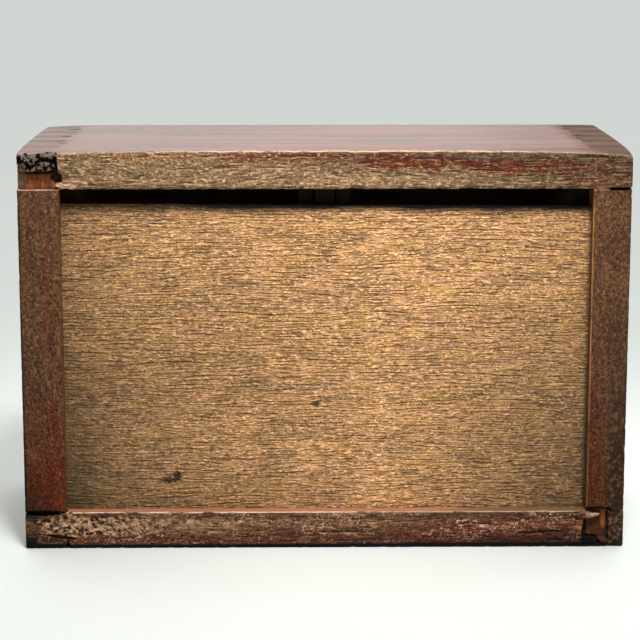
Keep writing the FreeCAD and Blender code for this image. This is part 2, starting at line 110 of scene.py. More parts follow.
class TeaBoxColours(bpy.types.PropertyGroup):
    """Colours of the woods and the brass"""

    polish_dark: colour("Polish, dark", "Dark streaks of the polished case", 68, 34, 22)
    polish_red: colour("Polish, red", "Main colour of the polished case", 120, 65, 41)
    polish_warm: colour("Polish, warm", "Light streaks of the polished case", 146, 86, 56)
    top_edge: colour("Top back edge", "Raw back edge of the top board", 122, 96, 69)
    side_edge: colour("Side back edges", "Raw back edges of the side boards", 88, 59, 37)
    bottom_edge: colour("Bottom back edge", "Raw back edge of the bottom board, low down", 94, 52, 30)
    bottom_high: colour("Bottom back edge, high", "Raw back edge of the bottom board, high up", 100, 70, 46)
    ledge_wood: colour("Ledges", "Worn wood of the lips that face up beside the panel", 150, 100, 74)
    # the rubbed-edge colour is a painted highlight along the arrises of the top, the lower lip and the left
    # side board
    arris_highlight_colour: colour("Rubbed edges", "Pale rubbed corners along the top and the lower lip", 216, 176, 146)
    red_stain: colour("Red stain", "Old red polish that has run over the raw edges", 128, 48, 24)
    bare_wood: colour("Bare wood", "Broken wood", 208, 164, 126)
    torn_wood: colour("Torn wood", "Orange fibres inside the broken corners", 156, 92, 50)
    charred: colour("Charred wood", "Burnt corner of the top", 122, 104, 90)
    panel_wood: colour("Panel wood", "Raw back panel, golden parts", 183, 138, 84)
    panel_rose: colour("Panel wood, rose", "Raw back panel, pinkish parts", 184, 138, 97)
    panel_pores: colour("Panel pores", "Open pores of the back panel", 78, 52, 30)
    inner_wood: colour("Inner wood", "Shelf, divider and stops", 104, 64, 42)
    front_wood: colour("Drawer fronts", "Polished drawer fronts", 108, 54, 32)
    drawer_wood: colour("Drawer sides", "Sides, backs and bottoms of the drawers", 150, 114, 78)
    bamboo: colour("Bamboo", "Pegs in the drawers' corners", 202, 170, 112)
    brass: colour("Brass", "Ring pulls", 178, 138, 74)
    tarnish: colour("Tarnish", "Brown bloom on the brass", 74, 50, 30)


class TeaBoxStage(bpy.types.PropertyGroup):
    """Camera, floor and lights"""

    focal_length: amount("Focal length", "Lens of the camera", 118.13, min=20, unit="CAMERA")
    camera_place: bpy.props.FloatVectorProperty(
        name="Camera place",
        description="Where the camera stands",
        default=(-0.01215, -0.86834, 0.24515),
        size=3,
        subtype="XYZ",
        unit="LENGTH",
    )
    camera_dip: angle("Camera dip", "How far the camera looks down", 10.58)
    camera_turn: angle("Camera turn", "How far the camera looks to the right", 0.717)
    floor_colour: colour("Floor", "Plain pale floor", 200, 204, 200)
    sky_strength: share("Sky strength", "Brightness of the pale surroundings", 1.0)
    key_power: amount("Key light", "Power of the soft light above the back", 3.2, min=0, unit="POWER")
    lamp_power: amount("Front lamp", "Power of the low soft lamp", 0.36, min=0, unit="POWER")
    window_strength: amount("Window", "Strength of the very soft light from the drawers' side", 2.6, min=0)


# ------------------------------------------------------------------ finishes
class Number:
    """A shader socket that can stand in a sum."""

    def __init__(self, finish, socket):
        self.finish = finish
        self.socket = socket

    def work(self, operation, *values):
        return self.finish.add("ShaderNodeMath", {"operation": operation}, dict(enumerate(values)))

    def __add__(self, other):
        return self.work("ADD", self, other)

    def __radd__(self, other):
        return self.work("ADD", other, self)

    def __sub__(self, other):
        return self.work("SUBTRACT", self, other)

    def __rsub__(self, other):
        return self.work("SUBTRACT", other, self)

    def __mul__(self, other):
        return self.work("MULTIPLY", self, other)

    def __rmul__(self, other):
        return self.work("MULTIPLY", other, self)

    def __truediv__(self, other):
        return self.work("DIVIDE", self, other)

    def __rtruediv__(self, other):
        return self.work("DIVIDE", other, self)

    def __pow__(self, other):
        return self.work("POWER", self, other)

    def size(self):
        return self.work("ABSOLUTE", self)

    def fraction(self):
        return self.work("FRACT", self)

    def wave(self):
        """A sine that goes once up and down for each whole step of the number."""
        return self.work("SINE", self * math.tau)


class Finish:
    """A material that is built up node by node."""

    def __init__(self, name, tree=None):
        self.material = None
        if tree is None:
            self.material = bpy.data.materials.new(name)
            self.material.use_nodes = True
            tree = self.material.node_tree
        self.tree = tree
        self.shader = tree.nodes.get("Principled BSDF")
        self.place = self.add("ShaderNodeTexCoord", {}, {}, "Object") if self.material else None

    def add(self, kind, settings, sockets, result=0):
        """Adds a node, sets it up, fills its sockets and gives back one of its results."""
        node = self.tree.nodes.new(kind)
        for setting, value in settings.items():
            setattr(node, setting, value)
        self.fill(node, sockets)
        return Number(self, node.outputs[result])

    def fill(self, node, sockets):
        """Gives a node's sockets their values or links."""
        for key, value in sockets.items():
            socket = node.inputs[key]
            if isinstance(value, Number):
                self.tree.links.new(value.socket, socket)
            elif socket.type == "RGBA" and len(value) == 3:
                socket.default_value = (*value, 1.0)
            else:
                socket.default_value = value

    def surface(self, **sockets):
        """Fills the main shader's own sockets, with _ for a space."""
        self.fill(self.shader, {key.replace("_", " "): value for key, value in sockets.items()})

    def vector(self, operation, first, second):
        """Sum, difference or scale of places or colours. A scale is one number."""
        slot = 3 if operation == "SCALE" else 1
        return self.add("ShaderNodeVectorMath", {"operation": operation}, {0: first, slot: second})

    def millimetres(self):
        """The place on the object, as three numbers in millimetres."""
        split = self.tree.nodes.new("ShaderNodeSeparateXYZ")
        self.tree.links.new(self.vector("SCALE", self.place, 1 / MM).socket, split.inputs[0])
        return [Number(self, output) for output in split.outputs]

    def painted(self, name):
        """A number that the mesh carries."""
        return self.add("ShaderNodeAttribute", {"attribute_name": name}, {}, 2)

    def between(self, value, low, high):
        """0 at low, 1 at high, and a soft step from one to the other."""
        sockets = {0: value, 1: low, 2: high, 3: 0.0, 4: 1.0}
        return self.add("ShaderNodeMapRange", {"interpolation_type": "SMOOTHSTEP"}, sockets)

    def blend(self, share_of_second, first, second):
        """Mixes two colours."""
        settings = {"data_type": "RGBA", "blend_type": "MIX", "clamp_factor": True}
        return self.add("ShaderNodeMix", settings, {0: share_of_second, 6: first, 7: second}, 2)

    def stain(self, skin, pattern, low, high, strength, tone):
        """Lays a tone over a skin where a pattern goes from low to high."""
        return self.blend(self.between(pattern, low, high) * strength, skin, tone)

    def shade(self, first, brightness):
        """A colour made lighter or darker by a number."""
        return self.vector("SCALE", first, brightness)

    def stretched(self, lengths, offset, turn=(0, 0, 0), at=None):
        """A place in a pattern that is stretched to the given lengths in millimetres."""
        sockets = {0: at or self.place, 1: offset, 2: turn, 3: tuple(v * MM for v in lengths)}
        return self.add("ShaderNodeMapping", {"vector_type": "TEXTURE"}, sockets)

    def grain(self, lengths, seed=0.0, turn=(0, 0, 0), at=None, detail=2.0, roughness=0.5, swirl=0.0):
        """Soft noise stretched to the given lengths in millimetres, about 0.5 on average."""
        where = self.stretched(lengths, (seed * 0.731, seed * 0.377, seed * 0.519), turn, at)
        sockets = {"Vector": where, "Scale": 1.0}
        sockets |= {"Detail": detail, "Roughness": roughness, "Distortion": swirl}
        return self.add("ShaderNodeTexNoise", {"noise_dimensions": "3D"}, sockets, "Fac")

    def spot(self, x, z, middle_x, middle_z, wide, high, ragged=0.0):
        """1 inside an oval on the back and 0 outside it, with a soft edge that a noise makes ragged."""
        off = ((x - middle_x) / wide) ** 2 + ((z - middle_z) / high) ** 2
        return self.between(off + ragged, 1.5, 0.5)

    def lifted(self, place, millimetres):
        """A place on the object, moved up."""
        return self.vector("ADD", place, (0, 0, millimetres * MM))

    def waver(self, lengths, reach, seed=0.0):
        """The place on the object, pushed about gently so that the grain runs in slow waves."""
        where = self.stretched(lengths, (seed, seed * 0.3, 0))
        cloud = self.add("ShaderNodeTexNoise", {}, {"Vector": where, "Scale": 1.0, "Detail": 1.0}, "Color")
        push = self.vector("SCALE", self.vector("SUBTRACT", cloud, (0.5, 0.5, 0.5)), reach * MM)
        return self.vector("ADD", self.place, push)

    def bump(self, height, depth):
        """Raises the surface by a height in millimetres."""
        return self.add("ShaderNodeBump", {}, {"Height": height, "Distance": depth * MM, "Strength": 1.0}, 0)


def along(axis, long, across, thick=None):
    """Noise lengths for grain that runs along an axis."""
    lengths = [across, across if thick is None else thick, across]
    if thick is not None:
        lengths[Y if axis != Y else Z] = thick
    lengths[axis] = long
    return tuple(lengths)


def leaning(degrees):
    """A turn about the line from back to front, for patterns that slant across the back."""
    return (0, math.radians(degrees), 0)


def colours():
    """The colours set in the sidebar."""
    return bpy.context.scene.tea_box_colours


# colours that age has left, with painted shade for the hollows and the panel, and painted light for the right
# arris and the broken corner's left end
PORE, OPEN_JOINT, HOLLOW_SHADE, PIT = paint(24, 11, 7), paint(14, 8, 6), paint(20, 12, 8), paint(34, 24, 17)
END_GRAIN_DARK, END_GRAIN_LIGHT, DULLED = paint(44, 28, 20), paint(88, 58, 42), paint(70, 60, 48)
LOW_SIDE_EDGE, LIT_CORNER_END, RIGHT_ARRIS_HIGHLIGHT = paint(92, 48, 15), paint(104, 76, 54), paint(176, 122, 70)
PALE_CURL, PALE_STREAK = paint(222, 178, 148), paint(216, 168, 138)
SIDE_LIP, RIGHT_LEDGE = paint(94, 57, 26), paint(104, 80, 52)
SOOT, SCORCH_DARK, SCORCH_LIGHT = paint(26, 20, 17), paint(38, 22, 12), paint(134, 100, 70)
PANEL_GREY, PANEL_GRIME_AND_SHADE, BRASS_SPOT = paint(128, 106, 76), paint(70, 58, 36), paint(46, 34, 22)

# reddish places on the raw back edges: middle x and z, half width and height, strength
RED_SPOTS = {
    "top_board": (
        (34, 155.2, 24, 2.8, 0.95),
        (76, 153.8, 24, 3.2, 1.0),
        (-14, 157.2, 28, 2.0, 0.6),
        (-66, 157.6, 20, 1.4, 0.35),
        (108, 150.5, 14, 6, 0.45),
    ),
    "left_side_board": ((-107.5, 26, 3.8, 34, 0.55), (-113, 20, 8, 40, 0.3), (-109, 95, 2.5, 36, 0.3)),
    "right_side_board": ((107, 40, 4, 45, 0.35),),
    "bottom_board": ((62, 3, 26, 4.5, 0.5),),
}


def polished_face(wood, axis, drift, end):
    """The polished wood of a case board, its pores, its dull places and its open joints."""
    tint = colours()
    x, y, z = wood.millimetres()
    bands = wood.grain(along(axis, 150, 12), 1.0, at=drift, detail=3.0)
    streaks = wood.grain(along(axis, 48, 1.6), 2.0, at=drift, detail=3.0, roughness=0.6)
    pores = wood.between(wood.grain(along(axis, 5.5, 0.36), 3.0, at=drift, detail=1.0), 0.6, 0.7)
    polish = wood.blend(wood.between(bands, 0.28, 0.66), tint.polish_dark, tint.polish_red)
    polish = wood.stain(polish, streaks, 0.5, 0.72, 0.6, tint.polish_warm)
    polish = wood.stain(polish, streaks, 0.47, 0.3, 0.6, tint.polish_dark)
    polish = wood.blend(pores * 0.65, polish, PORE)
    speckle = wood.grain((0.7, 0.7, 0.7), 4.0, detail=2.0)
    end_tone = wood.blend(wood.between(speckle, 0.4, 0.6), END_GRAIN_DARK, END_GRAIN_LIGHT)
    polish = wood.blend(end * (0.2 + 0.65 * wood.between(x, -60, 60)), polish, end_tone)
    # the top has gone grey over its joints
    upper = wood.between(z, 154, 156)
    cloud = wood.grain((14, 6, 14), 20.0, detail=3.0)
    dull = wood.between(x.size() + (cloud - 0.5) * 14, 96, 112) * wood.between(x.size(), 119.9, 119.0)
    dull = dull * upper * wood.between(y, 54.7, 53.5)
    polish = wood.blend(dull * (0.32 + wood.between(x, 0, 60) * 0.25), polish, DULLED)
    # open joints beside the pins' ends on the top
    beside = ((y + PIN_PITCH * 10.5) / PIN_PITCH).fraction() - 0.5
    crumbs = (wood.grain((1.6, 1.6, 1.6), 17.0, detail=3.0) - 0.5) * 5
    tick = wood.spot(x.size(), beside.size() * PIN_PITCH, 105.8, PIN_HALF_WIDTH, 2.8, 1.5, crumbs)
    tick = tick * upper * wood.between(wood.grain((30, 7, 30), 13.0, detail=1.0), 0.46, 0.54)
    return wood.blend(tick * 0.9, polish, OPEN_JOINT), pores, dull, tick


def raised_flecks(wood, name, axis, drift):
    """The pattern of small raised flecks on a raw back edge. It slants on the left of the top."""
    if axis == Z:
        return wood.grain((0.9, 0.9, 1.3), 7.0, at=drift, detail=1.5, swirl=0.6)
    level = wood.grain(along(axis, 3.6, 0.8), 7.0, leaning(-4), drift, 1.5, 0.6, 0.45)
    if name == "bottom_board":
        return level
    x, _, z = wood.millimetres()
    slanted = wood.grain(along(axis, 2.3, 0.85), 6.0, leaning(26), drift, 1.5, 0.6, 0.6)
    side = wood.between(x + (154 - z) * 6, -75, 5)
    return slanted * (1 - side) + level * side


def edge_darkening_and_shade(wood, name):
    """How far a raw back edge darkens from place to place, with a painted contact shadow along the bottom's
    lower edge.
    """
    x, _, z = wood.millimetres()
    if name == "top_board":
        return wood.between(x + (z - 152) * 11, -40, 108) * 0.6
    if name == "right_side_board":
        return wood.between(z, 150, 5) * 0.5
    if name == "left_side_board":
        dark = wood.between(z, 150, 5) * 0.36 + wood.between(x, -118.8, -119.5) * 0.5
        dark = dark + wood.between(x + z * 0.25, -107, -116) * 0.1
        return dark + wood.between(z, 36, 14) * wood.between(x, -103, -116) * 0.3
    dark = 0.21 + wood.between(z, 8, 1.5) * 0.27 + wood.between(z, 10.8, 12.8) * 0.3
    dark = dark + wood.between(x, -90, 60) * wood.between(z, 11, 8) * 0.15
    # painted contact shadow along the lower edge, where the box stands on the floor
    dark = dark + wood.between(z, 2.4, 1.0) * 0.6
    dark = dark + wood.between(x, 0, 90) * wood.between(z, 9, 4) * 0.2
    dark = dark + wood.between(z, 6.5, 4) * wood.between(x, -96, -110) * 0.24
    return dark + wood.between(x, -114.0, -116.5) * 0.3


def raw_edge_wood(wood, name, axis, drift, tone, ground, fleck):
    """The raw wood of a back edge: a brown ground with dark pits and pale raised flecks."""
    tint = colours()
    x, _, z = wood.millimetres()
    if name == "bottom_board":
        high = wood.between(z + (ground - 0.5) * 12 - wood.between(x, 10, 80) * 7, 4, 9)
        tone = wood.blend(high, tone, tint.bottom_high)
    if axis == Z:
        tone = wood.blend(wood.between(z + (ground - 0.5) * 40, 60, 20), tone, LOW_SIDE_EDGE)
    raw = wood.shade(tone, 0.72 + wood.between(ground, 0.3, 0.7) * 0.56)
    uneven = (ground - 0.5) * 4 + (fleck - 0.5) * 4
    spots = [wood.spot(x, z, *place, uneven) * strength for *place, strength in RED_SPOTS[name]]
    red = spots[0]
    for spot in spots[1:]:
        red = red + spot
    raw = wood.blend(red, raw, wood.shade(tint.red_stain, (0.6 + ground * 0.8) * (1.0 if axis == X else 0.6)))
    raw = wood.stain(raw, fleck, 0.48, 0.36, 0.65, wood.shade(tone, 0.22))
    raw = wood.stain(raw, fleck, 0.56, 0.66, 0.55, wood.shade(tone, 2.4))
    if axis == X:
        crack = wood.grain(along(axis, 9, 0.9), 15.0, at=drift, detail=2.0)
        below = wood.grain(along(axis, 9, 0.9), 15.0, at=wood.lifted(drift, 0.55), detail=2.0)
        blob = wood.grain((1.6, 2.0, 0.9), 14.0, detail=2.0, roughness=0.7)
        raw = wood.stain(raw, blob, 0.58, 0.66, 0.7, wood.shade(tone, 3.4))
        raw = wood.stain(raw, blob, 0.42, 0.35, 0.6, wood.shade(tone, 0.3))
        # a painted highlight on the lip just under each crack
        raw = wood.stain(raw, below, 0.6, 0.66, 0.5, wood.shade(tone, 3.0))
        raw = wood.stain(raw, crack, 0.6, 0.64, 0.8, wood.shade(tone, 0.12))
    if name == "bottom_board":
        curl = wood.grain((1.5, 2.0, 0.9), 18.0, leaning(-35), detail=2.0, roughness=0.6, swirl=1.2)
        flock = wood.between(wood.grain((22, 6, 7), 21.0, detail=3.0), 0.42, 0.6)
        raw = wood.blend(wood.between(curl, 0.56, 0.65) * flock * 0.85, raw, PALE_CURL)
        streak = wood.grain((5.5, 2.0, 0.8), 19.0, leaning(3), detail=2.0, roughness=0.6)
        raw = wood.stain(raw, streak, 0.59, 0.65, 0.15 + flock * 0.6, PALE_STREAK)
        raw = wood.stain(raw, curl, 0.42, 0.34, 0.6, wood.shade(tone, 0.2))
    sand = wood.grain((1.0, 1.0, 0.8), 16.0, detail=3.0, roughness=0.7)
    return wood.shade(raw, (1 - edge_darkening_and_shade(wood, name)) * (sand * 3.2 - 0.6))


def broken_wood(wood, name, raw, mark, fibre, grit):
    """Raw wood with its broken places: pale fibres, painted shade in the hollows, torn grain on end that is
    painted nearly black with shade in the bottom's corner, and ash over char.
    """
    tint = colours()
    x, _, z = wood.millimetres()
    upright = wood.grain((1.2, 2, 9), 12.0, detail=2.0)
    fresh, dim, soot, ashen = tint.bare_wood, 0.3, SCORCH_DARK, SCORCH_LIGHT
    if name == "bottom_board":
        fresh = wood.blend(wood.between((x - 101).size(), 4, 3.4), wood.shade(fresh, 0.76), tint.torn_wood)
        # the torn face inside the bottom's broken corner is painted nearly black with shade, apart from an
        # orange strip
        dim = 0.08
        strip = wood.spot(x, z, 112.3, 11.5, 1.5, 5.5, upright) * 0.9
    else:
        strip = wood.between(upright, 0.4, 0.6)
    if name == "top_board":
        soot, ashen = SOOT, tint.charred
    splinter = wood.blend(wood.between(fibre, 0.38, 0.6), wood.shade(fresh, 0.4), fresh)
    raw = wood.blend(mark["broken"], raw, splinter)
    inside = wood.shade(tint.torn_wood, dim + upright * 0.2)
    inside = wood.blend(strip, inside, wood.shade(tint.torn_wood, 0.95))
    # painted light: the left end of the top's broken corner is painted lighter, in the side board's colour,
    # where the char above is shallower
    inside = wood.blend(wood.between(x, -116.4, -117.2), inside, LIT_CORNER_END)
    raw = wood.blend(mark["torn"], raw, inside)
    # painted shade in the hollows: deep chips, under the char and under the splinter
    raw = wood.blend(mark["hollow"] * 0.92, raw, HOLLOW_SHADE)
    ashes = mark["ash"] * wood.between(grit, 0.26, 0.5)
    return wood.blend(mark["burnt"], raw, wood.blend(ashes, soot, wood.shade(ashen, 0.5 + grit * 0.8)))


def case_wood(name, axis, tone):
    """Polished red-brown hardwood whose back edge is raw, worn, chipped and in one corner burnt."""
    wood = Finish(f"case_wood_{name}")
    tint = colours()
    x, y, _ = wood.millimetres()
    mark = {part: wood.painted(part) for part in FACE_MARKS + VERTEX_MARKS}
    back, end, ledge, burnt = (mark[part] for part in ("back_face", "end_grain", "ledge", "burnt"))
    drift = wood.waver((70, 70, 70), 9, 2.0)
    right = wood.between(x, 0, 60)
    polish, pores, dull, tick = polished_face(wood, axis, drift, end)

    ground = wood.grain(along(axis, 16, 3.0), 5.0, at=drift, detail=3.0, roughness=0.6)
    fleck = raised_flecks(wood, name, axis, drift)
    fibre = wood.grain(along(axis, 2.0, 0.9), 10.0, detail=2.0, roughness=0.6)
    grit = wood.grain((1.3, 1.0, 0.5), 11.0, (0, 0.4, 0), detail=3.0, roughness=0.7)
    raw = raw_edge_wood(wood, name, axis, drift, tone, ground, fleck)
    raw = broken_wood(wood, name, raw, mark, fibre, grit)
    patches = wood.grain((9, 9, 9), 9.0, detail=5.0, roughness=0.7)
    rubbed = mark["rubbed"] * wood.between(patches, 0.34, 0.5) * (1 - burnt)
    # painted highlight where the light catches the arrises, ochre on the right side
    raw = wood.blend(rubbed * 0.9, raw, RIGHT_ARRIS_HIGHLIGHT if name == "right_side_board" else tint.arris_highlight_colour)

    skin = wood.blend(back, polish, raw)
    lip_tone = SIDE_LIP if axis == Z else wood.blend(wood.between(x, 40, 70), tint.ledge_wood, RIGHT_LEDGE)
    skin = wood.blend(ledge, skin, wood.shade(lip_tone, 0.75 + ground * 0.5))
    relief = back * (fleck * 0.9 + mark["broken"] * fibre * 0.8 + burnt * grit * 1.4)
    # the polish lies on neither back nor lips, is thin on end grain and the joints, and fades to the right
    coat = (1 - back) * (1 - ledge) * (1 - end * (0.2 + 0.5 * wood.between(x, -60, 60))) * (1 - tick)
    coat = coat * (1 - dull * (0.46 + right * 0.3))
    near_back = wood.between(y, -26, -52) * wood.between(x, -90, 10)
    wood.surface(
        Base_Color=skin,
        Roughness=0.34 + back * 0.3 + end * 0.12 - rubbed * 0.2 + tick * 0.6 + dull * right * 0.4,
        Specular_IOR_Level=0.12,
        Coat_Weight=coat * (0.47 - wood.between(x, 50, 104) * 0.3 - near_back * 0.14),
        Coat_Roughness=0.2,
        Normal=wood.bump(relief + (1 - back) * (0.05 - pores * 0.05), 0.5),
    )
    return wood.material


# small dark marks in the back panel: middle x and z, half width and height, strength
KNOTS = (
    (-62.5, 26.9, 3.2, 1.3, 0.9),
    (-59.2, 28.2, 1.8, 2.0, 0.95),
    (-3.9, 58.2, 1.8, 1.1, 0.7),
    (79.8, 121.7, 0.8, 0.9, 0.8),
)


def panel_grime_and_shade(wood, patch):
    """How grimy and shaded the panel is, and how deep the painted shade along its upper edge under the top
    board lies.
    """
    x, _, z = wood.millimetres()
    # darker towards the lower corners and the left side: grime, with painted shade where the light falls off
    aside = (x - 20).size()
    low = wood.between(z, 140, 5)
    grime_and_shade = aside * low * (0.0043 + wood.between(x, 10, 70) * 0.003)
    grime_and_shade = grime_and_shade + wood.between(aside + patch * 20, 80, 122) * 0.12
    # painted shade under the top board's overhang, uneven along the panel; then a darker patch left of the
    # middle and a lighter one low on the left
    shade_under_top = 0.08 + aside * 0.0028 + wood.between((x + 18).size(), 50, 20) * 0.14
    shade_under_top = shade_under_top + wood.between(x, 84, 98) * 0.18
    grime_and_shade = grime_and_shade + wood.between(z, 131, 138.5) * shade_under_top + wood.spot(x, z, -28, 55, 42, 55) * 0.06
    grime_and_shade = grime_and_shade - wood.spot(x, z, -42, 40, 44, 15) * 0.1
    # darker along the left edge, and a painted shadow of the right lip on the panel beside it
    grime_and_shade = grime_and_shade + wood.between(x, -84, -103) * 0.13 + wood.between(x, 103.2, 104.8) * 0.36
    # painted shade under the top board along the panel's upper edge, darkest in its top millimetre or so and
    # lighter at the left end
    depth_down = 138.6 - x * 0.0057 - z + (patch - 0.5) * 2.4
    overhang_shade = wood.between(depth_down, 4.4, 0.8) * (0.5 + wood.between(x, -95, -35) * 0.4)
    thick = wood.between(depth_down, 1.9, 1.0) * wood.between(x, -80, -10) * 0.85
    return grime_and_shade, 1 - (1 - overhang_shade) * (1 - thick)


def panel_wood():
    """A raw, open-pored board, golden where there is no grime, grey-brown towards its lower corners with
    grime and painted shade, with a painted pool of light on its upper right and painted shade under the top
    board.
    """
    wood = Finish("raw_panel_wood")
    tint = colours()
    x, _, z = wood.millimetres()
    drift = wood.waver((95, 60, 60), 9, 5.0)
    tilt = leaning(-1.5)

    def strokes(lengths, seed, low, high, detail=1.0):
        """Short marks that lie along the grain."""
        return wood.between(wood.grain(lengths, seed, tilt, drift, detail=detail), low, high)

    bands = wood.grain((75, 20, 7), 1.0, tilt, drift, detail=2.0)
    patch = wood.grain((22, 20, 6.5), 2.0, tilt, drift, detail=3.0)
    # fine ridges that run the whole way across, about 1.4 mm apart, and finer ones between them
    flow = wood.grain((80, 40, 20), 3.0, tilt, drift, detail=4.0, roughness=0.55)
    ridge = (z / 1.35 + flow * 8).wave()
    hair = (z / 0.95 + flow * 11).wave()
    lines = wood.between(ridge, 0.2, 0.98) * strokes((10, 3, 1.3), 4.0, 0.42, 0.6, 2.0)
    hairs = wood.between(hair, 0.1, 0.98) * strokes((6, 3, 1.0), 5.0, 0.42, 0.6, 2.0)
    dash = strokes((2.8, 1, 0.8), 6.0, 0.54, 0.66)
    fleck = strokes((2.2, 1.5, 0.8), 7.0, 0.55, 0.66)
    spark = strokes((1.3, 1.2, 0.7), 12.0, 0.58, 0.68)
    pit = strokes((1.5, 1.2, 0.7), 13.0, 0.58, 0.68)
    grit = wood.grain((0.9, 0.8, 0.6), 8.0, detail=3.0, roughness=0.7)
    hue = wood.grain((9, 9, 3.2), 9.0, tilt, drift, detail=3.0)
    tone = wood.blend(wood.between(hue, 0.36, 0.64), tint.panel_wood, tint.panel_rose)
    tone = wood.shade(tone, bands * 0.2 + patch * 0.66 + grit * 1.5 - 0.17)
    tone = wood.stain(tone, patch, 0.5, 0.34, 0.4, PANEL_GREY)
    tone = wood.blend(fleck * 0.75, tone, wood.shade(tint.panel_rose, 2.1))
    tone = wood.blend(spark * 0.6, tone, wood.shade(tint.panel_rose, 2.6))
    for pores, strength in ((pit, 0.6), (lines, 0.75), (hairs, 0.6), (dash, 0.5)):
        tone = wood.blend(pores * strength, tone, tint.panel_pores)
    grime_and_shade, overhang_shade = panel_grime_and_shade(wood, patch)
    # painted pool of light on the panel's upper right
    tone = wood.shade(tone, 1 - grime_and_shade + wood.spot(x, z, 48, 118, 32, 20) * 0.08)
    tone = wood.blend(grime_and_shade * 0.5, tone, PANEL_GRIME_AND_SHADE)
    rough = (wood.grain((1.1, 1.5, 0.8), 7.0, detail=3.0) - 0.5) * 3.4
    for *place, depth in KNOTS:
        tone = wood.blend(wood.spot(x, z, *place, rough) * depth, tone, PIT)
    relief = fleck * 0.6 + spark * 0.5 - pit * 0.5 - lines * 0.8 - hairs * 0.5 - dash * 0.4 + grit * 0.4
    wood.surface(
        Base_Color=wood.shade(tone, 1 - overhang_shade),
        Roughness=0.6,
        Specular_IOR_Level=0.15,
        Normal=wood.bump(relief, 0.4),
    )
    return wood.material


# where the painted shade of the dark inside behind the back panel ends, in millimetres from the middle of the
# case
INTERIOR_SHADE_ENDS = (-38.6, -36.4)


def plain_wood(name, tone, axis, roughness, streak=0.35, coat=0.0, shine=0.12):
    """Planed wood with soft streaks and fine pores, painted nearly black with shade behind the back panel."""
    wood = Finish(name)
    drift = wood.waver((60, 60, 60), 6, 4.0)
    bands = wood.grain(along(axis, 90, 5), 1.0, at=drift, detail=3.0)
    streaks = wood.grain(along(axis, 34, 0.9), 2.0, at=drift, detail=3.0, roughness=0.6)
    pores = wood.between(wood.grain(along(axis, 4.5, 0.3), 3.0, at=drift, detail=1.0), 0.6, 0.71)
    skin = wood.shade(tone, 1 - streak * 0.5 + wood.between(bands, 0.3, 0.7) * streak)
    skin = wood.stain(skin, streaks, 0.52, 0.34, 0.4 + streak * 0.4, wood.shade(tone, 0.5))
    skin = wood.stain(skin, streaks, 0.55, 0.72, 0.3, wood.shade(tone, 1.35))
    skin = wood.blend(pores * 0.55, skin, wood.shade(tone, 0.3))
    # painted shade: the wood goes nearly black inside the case, behind the back panel
    out_of_interior_shade = wood.between(wood.millimetres()[Y], *INTERIOR_SHADE_ENDS)
    skin = wood.shade(skin, 0.09 + 0.91 * out_of_interior_shade)
    wood.surface(
        Base_Color=skin,
        Roughness=roughness + wood.between(streaks, 0.4, 0.6) * 0.08,
        Specular_IOR_Level=shine,
        Coat_Weight=coat,
        Coat_Roughness=0.16,
        Normal=wood.bump(streaks * 0.25 - pores, 0.06),
    )
    return wood.material


def bamboo_wood():
    """Pale bamboo: straight fibres, seen end on as small dots."""
    cane = Finish("split_bamboo")
    tint = colours()
    fibre = cane.grain((0.35, 4, 0.35), 1.0, detail=1.0)
    skin = cane.blend(cane.between(fibre, 0.45, 0.62), tint.bamboo, cane.shade(tint.bamboo, 0.5))
    cane.surface(Base_Color=skin, Roughness=0.5)
    return cane.material


def old_brass():
    """Dull yellow brass, browned in its hollows and rubbed bright on its high places."""
    metal = Finish("old_brass")
    tint = colours()
    cloud = metal.grain((5, 5, 5), 1.0, detail=3.0, roughness=0.6)
    spots = metal.between(metal.grain((0.9, 0.9, 0.9), 2.0, detail=2.0), 0.56, 0.7)
    bloom = metal.between(cloud, 0.4, 0.62)
    skin = metal.blend(bloom * 0.75, tint.brass, tint.tarnish)
    skin = metal.blend(spots * 0.5, skin, BRASS_SPOT)
    metal.surface(
        Base_Color=skin,
        Metallic=1 - bloom * 0.35 - spots * 0.2,
        Roughness=0.3 + bloom * 0.25 + spots * 0.15,
        Normal=metal.bump(cloud - spots * 0.4, 0.08),
    )
    return metal.material


finishes = {}


def finish(maker, *details):
    """The material from a maker function, made only once."""
    key = (maker.__name__, *map(str, details))
    if key not in finishes:
        finishes[key] = maker(*details)
    return finishes[key]


# ------------------------------------------------------------------ shaping
def merged_copy(node):
    """A copy of a CAD node's mesh, with its corners merged and its flat faces joined."""
    bm = bmesh.new()
    bm.from_mesh(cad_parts[node].data)
    bmesh.ops.remove_doubles(bm, verts=bm.verts, dist=1e-6)
    bmesh.ops.dissolve_limit(
        bm,
        angle_limit=math.radians(1),
        use_dissolve_boundaries=False,
        verts=bm.verts,
        edges=bm.edges,
        delimit=set(),
    )
    return bm


def each_once(elements):
    """Mesh elements in the order in which they first come, without repeats."""
    return list(dict.fromkeys(elements))


def bevel(bm, edges, width, segments):
    """Rounds edges off and gives back what the operator made."""
    return bmesh.ops.bevel(
        bm,
        geom=edges,
        offset=width,
        offset_type="OFFSET",
        segments=segments,
        profile=0.5,
        affect="EDGES",
        material=-1,
        clamp_overlap=True,
    )


def ease_edges(bm, width, segments=2, shortest=2.0):
    """Takes the sharpness off the outside edges, apart from those shorter than so many millimetres."""
    outside = [e for e in bm.edges if len(e.link_faces) == 2 and e.is_convex]
    sharp = [e for e in outside if e.calc_face_angle() > math.radians(30) and e.calc_length() > shortest * MM]
    bevel(bm, sharp, width, segments)


